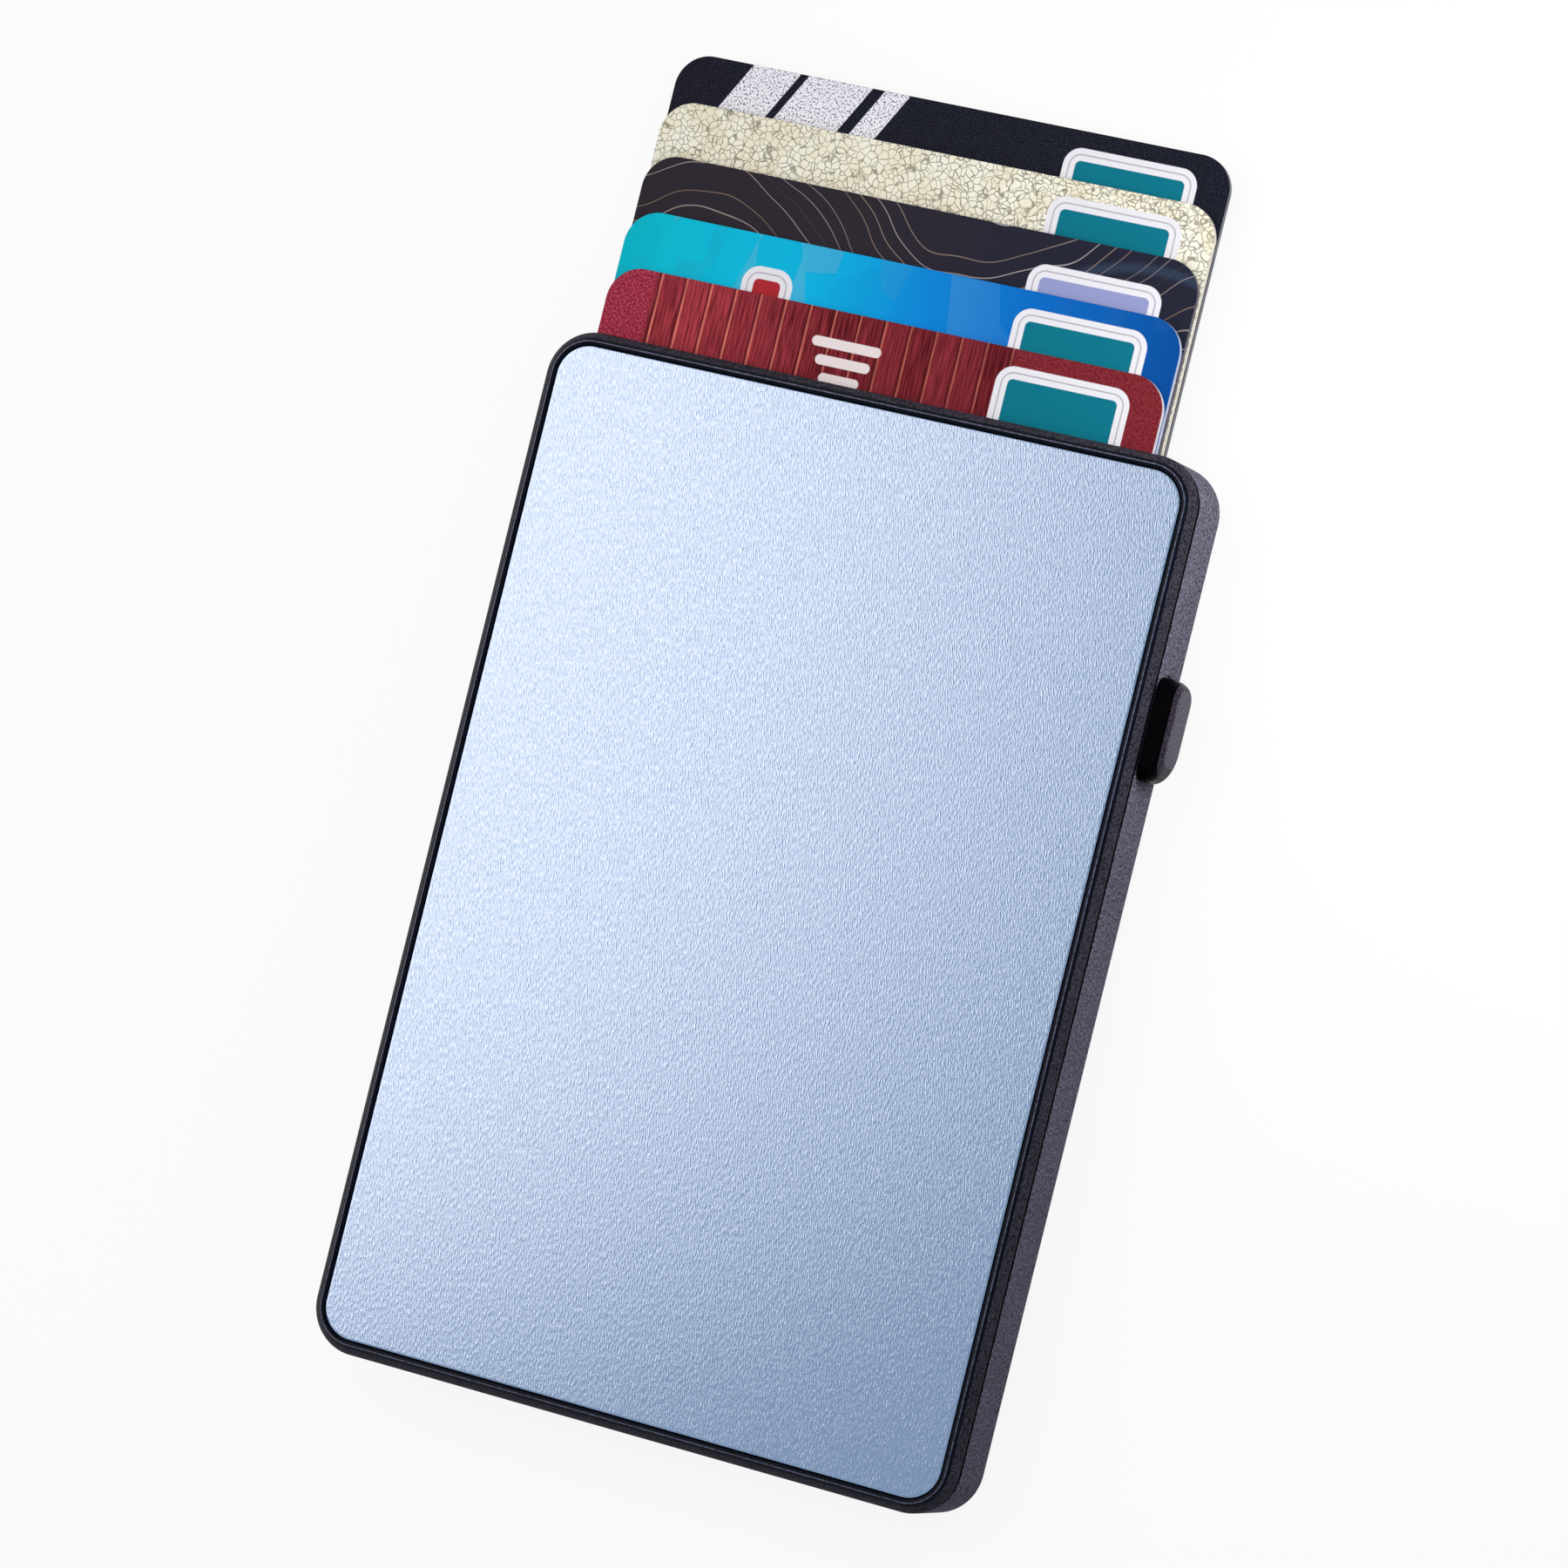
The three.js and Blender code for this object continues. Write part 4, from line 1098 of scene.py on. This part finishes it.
LID_SHEEN = (0.76, 0.84, 1.0, 1)
recess_floor = cover_low.z + HOOK_DROP + COVER_PLATE
cover_under = cover_low.z + HOOK_DROP
flange_back = cover_high.z - COVER_FLANGE
plate_inset = CASE_WALL + PLATE_GAP
crest = (RIM_CREST, cover_high.z)
rim_inner = (RIM_WIDTH, cover_high.z - RIM_FALL)
lid_profile = np.vstack([
    [(plate_inset, cover_under), (plate_inset, flange_back)],
    round_over((0, flange_back + WALL_EDGE / 2), (WALL_EDGE / 2, flange_back))[::-1],
    round_over((0, flange_back + RIM_EDGE), crest, RIM_STEPS, RIM_FLATNESS),
    round_over(rim_inner, crest, EDGE_STEPS * 2)[::-1][1:],
    [(RIM_WIDTH, recess_floor)],
])
lid = add_piece("lid", carry(lid_profile, case_path))
skirt_row = PLATE_ROWS
rim_row = skirt_row + EDGE_STEPS + 1
crest_row = rim_row + RIM_STEPS
# The skirt's rows take the grey painted-light finish, and the crest's rows the paler painted highlight.
other_finish(lid, len(case_path[0]), skirt_row, rim_row + SKIRT_STEPS)
other_finish(lid, len(case_path[0]), crest_row - CREST_OUTER_STEPS, crest_row + 1, number=2)
hooks = []
for y in HOOK_PLACES:
    start = y - HOOK_LENGTH / 2
    end = y + HOOK_LENGTH / 2
    hooks.append(block(
        (-inner_x + PLATE_GAP, start, cover_low.z),
        (-inner_x + plate_inset, end, cover_under + COVER_PLATE / 2),
    ))
    hooks.append(block(
        (-inner_x - HOOK_REACH, start, cover_low.z),
        (-inner_x + 2 * PLATE_GAP, end, cover_under),
    ))
shape(lid, "UNION", hooks)
pad_low, pad_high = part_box("front_felt_pad")
below = cover_under - CUT_OVER
sockets = [
    block(
        (pad_low.x - FIT, pad_low.y - FIT, below),
        (pad_high.x + FIT, pad_high.y + FIT, pad_high.z + PAD_ROOM),
    ),
    rod(pivot_radius + FIT, pivot, below, cover_under + PIVOT_SOCKET),
]
for screw in SCREWS:
    place = middle(screw)
    sockets.append(rod(SCREW_SHANK + FIT, place, below, recess_floor - SCREW_HEAD_SEAT / 2))
    sockets.append(rod(SCREW_HEAD + FIT, place, recess_floor - SCREW_HEAD_SEAT, recess_floor + PAD_ROOM))
shape(lid, "DIFFERENCE", sockets)
smooth(lid)
lid.data.materials.append(moulded(
    "lid_plastic",
    dark=paint(3, 5, 11),
    light=paint(12, 16, 30),
    grain=0.24 * MM,
    relief=0.004 * MM,
    roughness=0.24,
    specular=0.09,
    sheen=LID_SHEEN,
))
# Skirt: the same black plastic, grained, painted grey as painted light.
lid.data.materials.append(moulded(
    "lid_skirt_painted_light",
    dark=paint(20, 18, 23),
    light=paint(76, 73, 84),
    grain=0.22 * MM,
    relief=0.02 * MM,
    roughness=0.6,
    specular=0.05,
))
# Crest: a paler glossy band, a painted highlight.
lid.data.materials.append(moulded(
    "lid_crest_painted_highlight",
    dark=paint(44, 46, 60),
    light=paint(94, 97, 120),
    grain=0.3 * MM,
    relief=0.003 * MM,
    roughness=0.26,
    specular=0.4,
))
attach(lid, "case")
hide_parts("front_cover")

# Adhesive sheet: a thin cream film with glue on both faces, cut to the lid's recess. It holds the panel
# there and covers the screws.
tape_film = moulded(
    "tape_film",
    dark=paint(214, 207, 192),
    light=paint(236, 231, 220),
    grain=0.8 * MM,
    relief=0.02 * MM,
    roughness=0.7,
)
dress(tape_film, "panel_tape")

# Front panel: a thin aluminium plate, brushed in short strokes that lean a little from its length and dyed
# a pale silvery blue, with a small polished bevel all round. It lies in the lid's recess, below the rim.
PANEL_BEVEL = 0.12 * MM
BRUSH_LEAN = math.radians(13)
panel_low, panel_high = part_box("front_panel")
panel_corner = CASE_CORNER - (tray_high.x - panel_high.x)
panel_profile = np.vstack([
    [(0, panel_low.z)],
    round_over((0, panel_high.z - PANEL_BEVEL), (PANEL_BEVEL, panel_high.z)),
    [(2 * PANEL_BEVEL, panel_high.z)],
])
panel = add_piece("panel", carry(panel_profile, outline(panel_high.x, panel_high.y, panel_corner)))
smooth(panel)
panel_metal = worked_metal(
    "panel_metal",
    dark=paint(159, 184, 217),
    light=paint(183, 202, 230),
    width=0.12 * MM,
    length=0.5 * MM,
    relief=0.026 * MM,
    roughness=0.18,
    lean=BRUSH_LEAN,
)
panel.data.materials.append(panel_metal)
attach(panel, "case")
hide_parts("front_panel")

# Studio: a pale bowl that is floor and backdrop in one, a large soft lamp on the left whose edge gives the
# panel its sheen, a near one on the right for the side wall, a small one above the cards, and the camera at
# the photograph's place. The small lamps aren't mirrored in glossy surfaces.
FLOOR_DROP = 0.2 * MM
FLOOR_RADIUS = 1.2
BOWL_ROUND = 1.4
BOWL_STEPS = 24
BOWL_RISE = math.radians(80)
FLOOR_MIDDLE = 0.3
BOWL_WHITE = 0.88
SEEN_PAPER = (0.95, 0.95, 0.95, 1)
PAPER = (0.3, 0.3, 0.3, 1)
WORLD_LIGHT = 0.5
WORLD_TINT = (0.85, 0.97, 1.1, 1)
LEFT_LAMP = {"place": (-0.234, 0.058, 0.279), "aim": (0.0, 0.01, 0.008), "size": 0.34, "power": 0.45}
LEFT_TINT = (1.0, 0.79, 0.63)
RIGHT_LAMP = {"place": (0.09, 0.066, 0.05), "aim": (0.03, 0.035, 0.004), "size": 0.05, "power": 0.056}
RIGHT_TINT = (1.0, 0.98, 1.0)
FILL_LAMP = {"place": (-0.04, 0.13, 0.2), "aim": (0.0, 0.062, 0.006), "size": 0.12, "power": 0.06}
FILL_TINT = (1.0, 1.0, 1.0)
CAMERA_PLACE = Vector((0.196363, 0.005298, 0.535836))
CAMERA_AIM = Vector((0.000715, 0.011795, 0.0085))
CAMERA_ROLL = math.radians(13.916)
CAMERA_LENS = 145.73
CAMERA_NEAR = 0.01
SENSOR = 36.0


def bowl_rings():
    """Rings round the middle, from the rim of the bowl down a quarter circle and in over the flat floor."""
    turn = np.linspace(BOWL_RISE, 0, BOWL_STEPS)
    radius = np.append(FLOOR_RADIUS + BOWL_ROUND * np.sin(turn), FLOOR_MIDDLE)
    height = np.append(BOWL_ROUND * (1 - np.cos(turn)), 0.0) - FLOOR_DROP
    return carry(np.column_stack([1 - radius, height]), circle(1.0, (0, 0)))


def make_pale():
    """Pale studio paper: to the camera and in reflections mostly white, with a share of lit paper that keeps
    the object's shadow, and to all other light a plain grey. From below it isn't seen."""
    material, tree, shader = finish("pale_paper")
    path = tree.nodes.new("ShaderNodeLightPath").outputs
    seen = maths(tree, "MAXIMUM", path["Is Camera Ray"], path["Is Glossy Ray"])
    seen = maths(tree, "MAXIMUM", seen, path["Is Transmission Ray"])
    paper = put(tree, "ShaderNodeBsdfDiffuse", {"Color": PAPER}).outputs[0]
    lit = put(tree, "ShaderNodeBsdfDiffuse", {"Color": SEEN_PAPER}).outputs[0]
    white = put(tree, "ShaderNodeEmission", {"Color": (1, 1, 1, 1), "Strength": 1.0}).outputs[0]
    shown = put(tree, "ShaderNodeMixShader", {0: BOWL_WHITE, 1: lit, 2: white}).outputs[0]
    front = put(tree, "ShaderNodeMixShader", {0: seen, 1: paper, 2: shown}).outputs[0]
    below = tree.nodes.new("ShaderNodeNewGeometry").outputs["Backfacing"]
    clear = tree.nodes.new("ShaderNodeBsdfTransparent").outputs[0]
    both = put(tree, "ShaderNodeMixShader", {0: below, 1: front, 2: clear}).outputs[0]
    tree.links.new(both, tree.nodes["Material Output"].inputs["Surface"])
    tree.nodes.remove(shader)
    return material


def add_lamp(name, tint, mirrored, place, aim, size, power):
    """Round soft lamp that faces its aim; glossy surfaces show its image only where it is mirrored."""
    lamp = bpy.data.lights.new(name, "AREA")
    lamp.shape = "DISK"
    lamp.color = tint
    lamp.size = size
    lamp.energy = power
    holder = bpy.data.objects.new(name, lamp)
    holder.location = place
    holder.rotation_euler = (Vector(aim) - Vector(place)).to_track_quat("-Z", "Y").to_euler()
    holder.visible_camera = False
    holder.visible_glossy = mirrored
    bpy.context.scene.collection.objects.link(holder)


bowl = add_piece("studio_bowl", bowl_rings(), open_start=True)
smooth(bowl)
bowl.data.materials.append(make_pale())
add_lamp("left_lamp", LEFT_TINT, True, **LEFT_LAMP)
add_lamp("right_lamp", RIGHT_TINT, False, **RIGHT_LAMP)
add_lamp("fill_lamp", FILL_TINT, False, **FILL_LAMP)
world = bpy.data.worlds.new("studio_light")
world.use_nodes = True
world.node_tree.nodes["Background"].inputs["Strength"].default_value = WORLD_LIGHT
world.node_tree.nodes["Background"].inputs["Color"].default_value = WORLD_TINT
camera_data = bpy.data.cameras.new("photo_camera")
camera_data.lens = CAMERA_LENS
camera_data.sensor_width = SENSOR
camera_data.clip_start = CAMERA_NEAR
camera = bpy.data.objects.new("photo_camera", camera_data)
back = (CAMERA_PLACE - CAMERA_AIM).normalized()
right = Vector((0, 1, 0)).cross(back).normalized()
turned = Matrix((right, back.cross(right), back)).transposed().to_4x4()
camera.matrix_world = Matrix.Translation(CAMERA_PLACE) @ turned @ Matrix.Rotation(CAMERA_ROLL, 4, "Z")
bpy.context.scene.collection.objects.link(camera)
bpy.context.scene.camera = camera
bpy.context.scene.world = world
bpy.context.scene.view_settings.view_transform = "Standard"
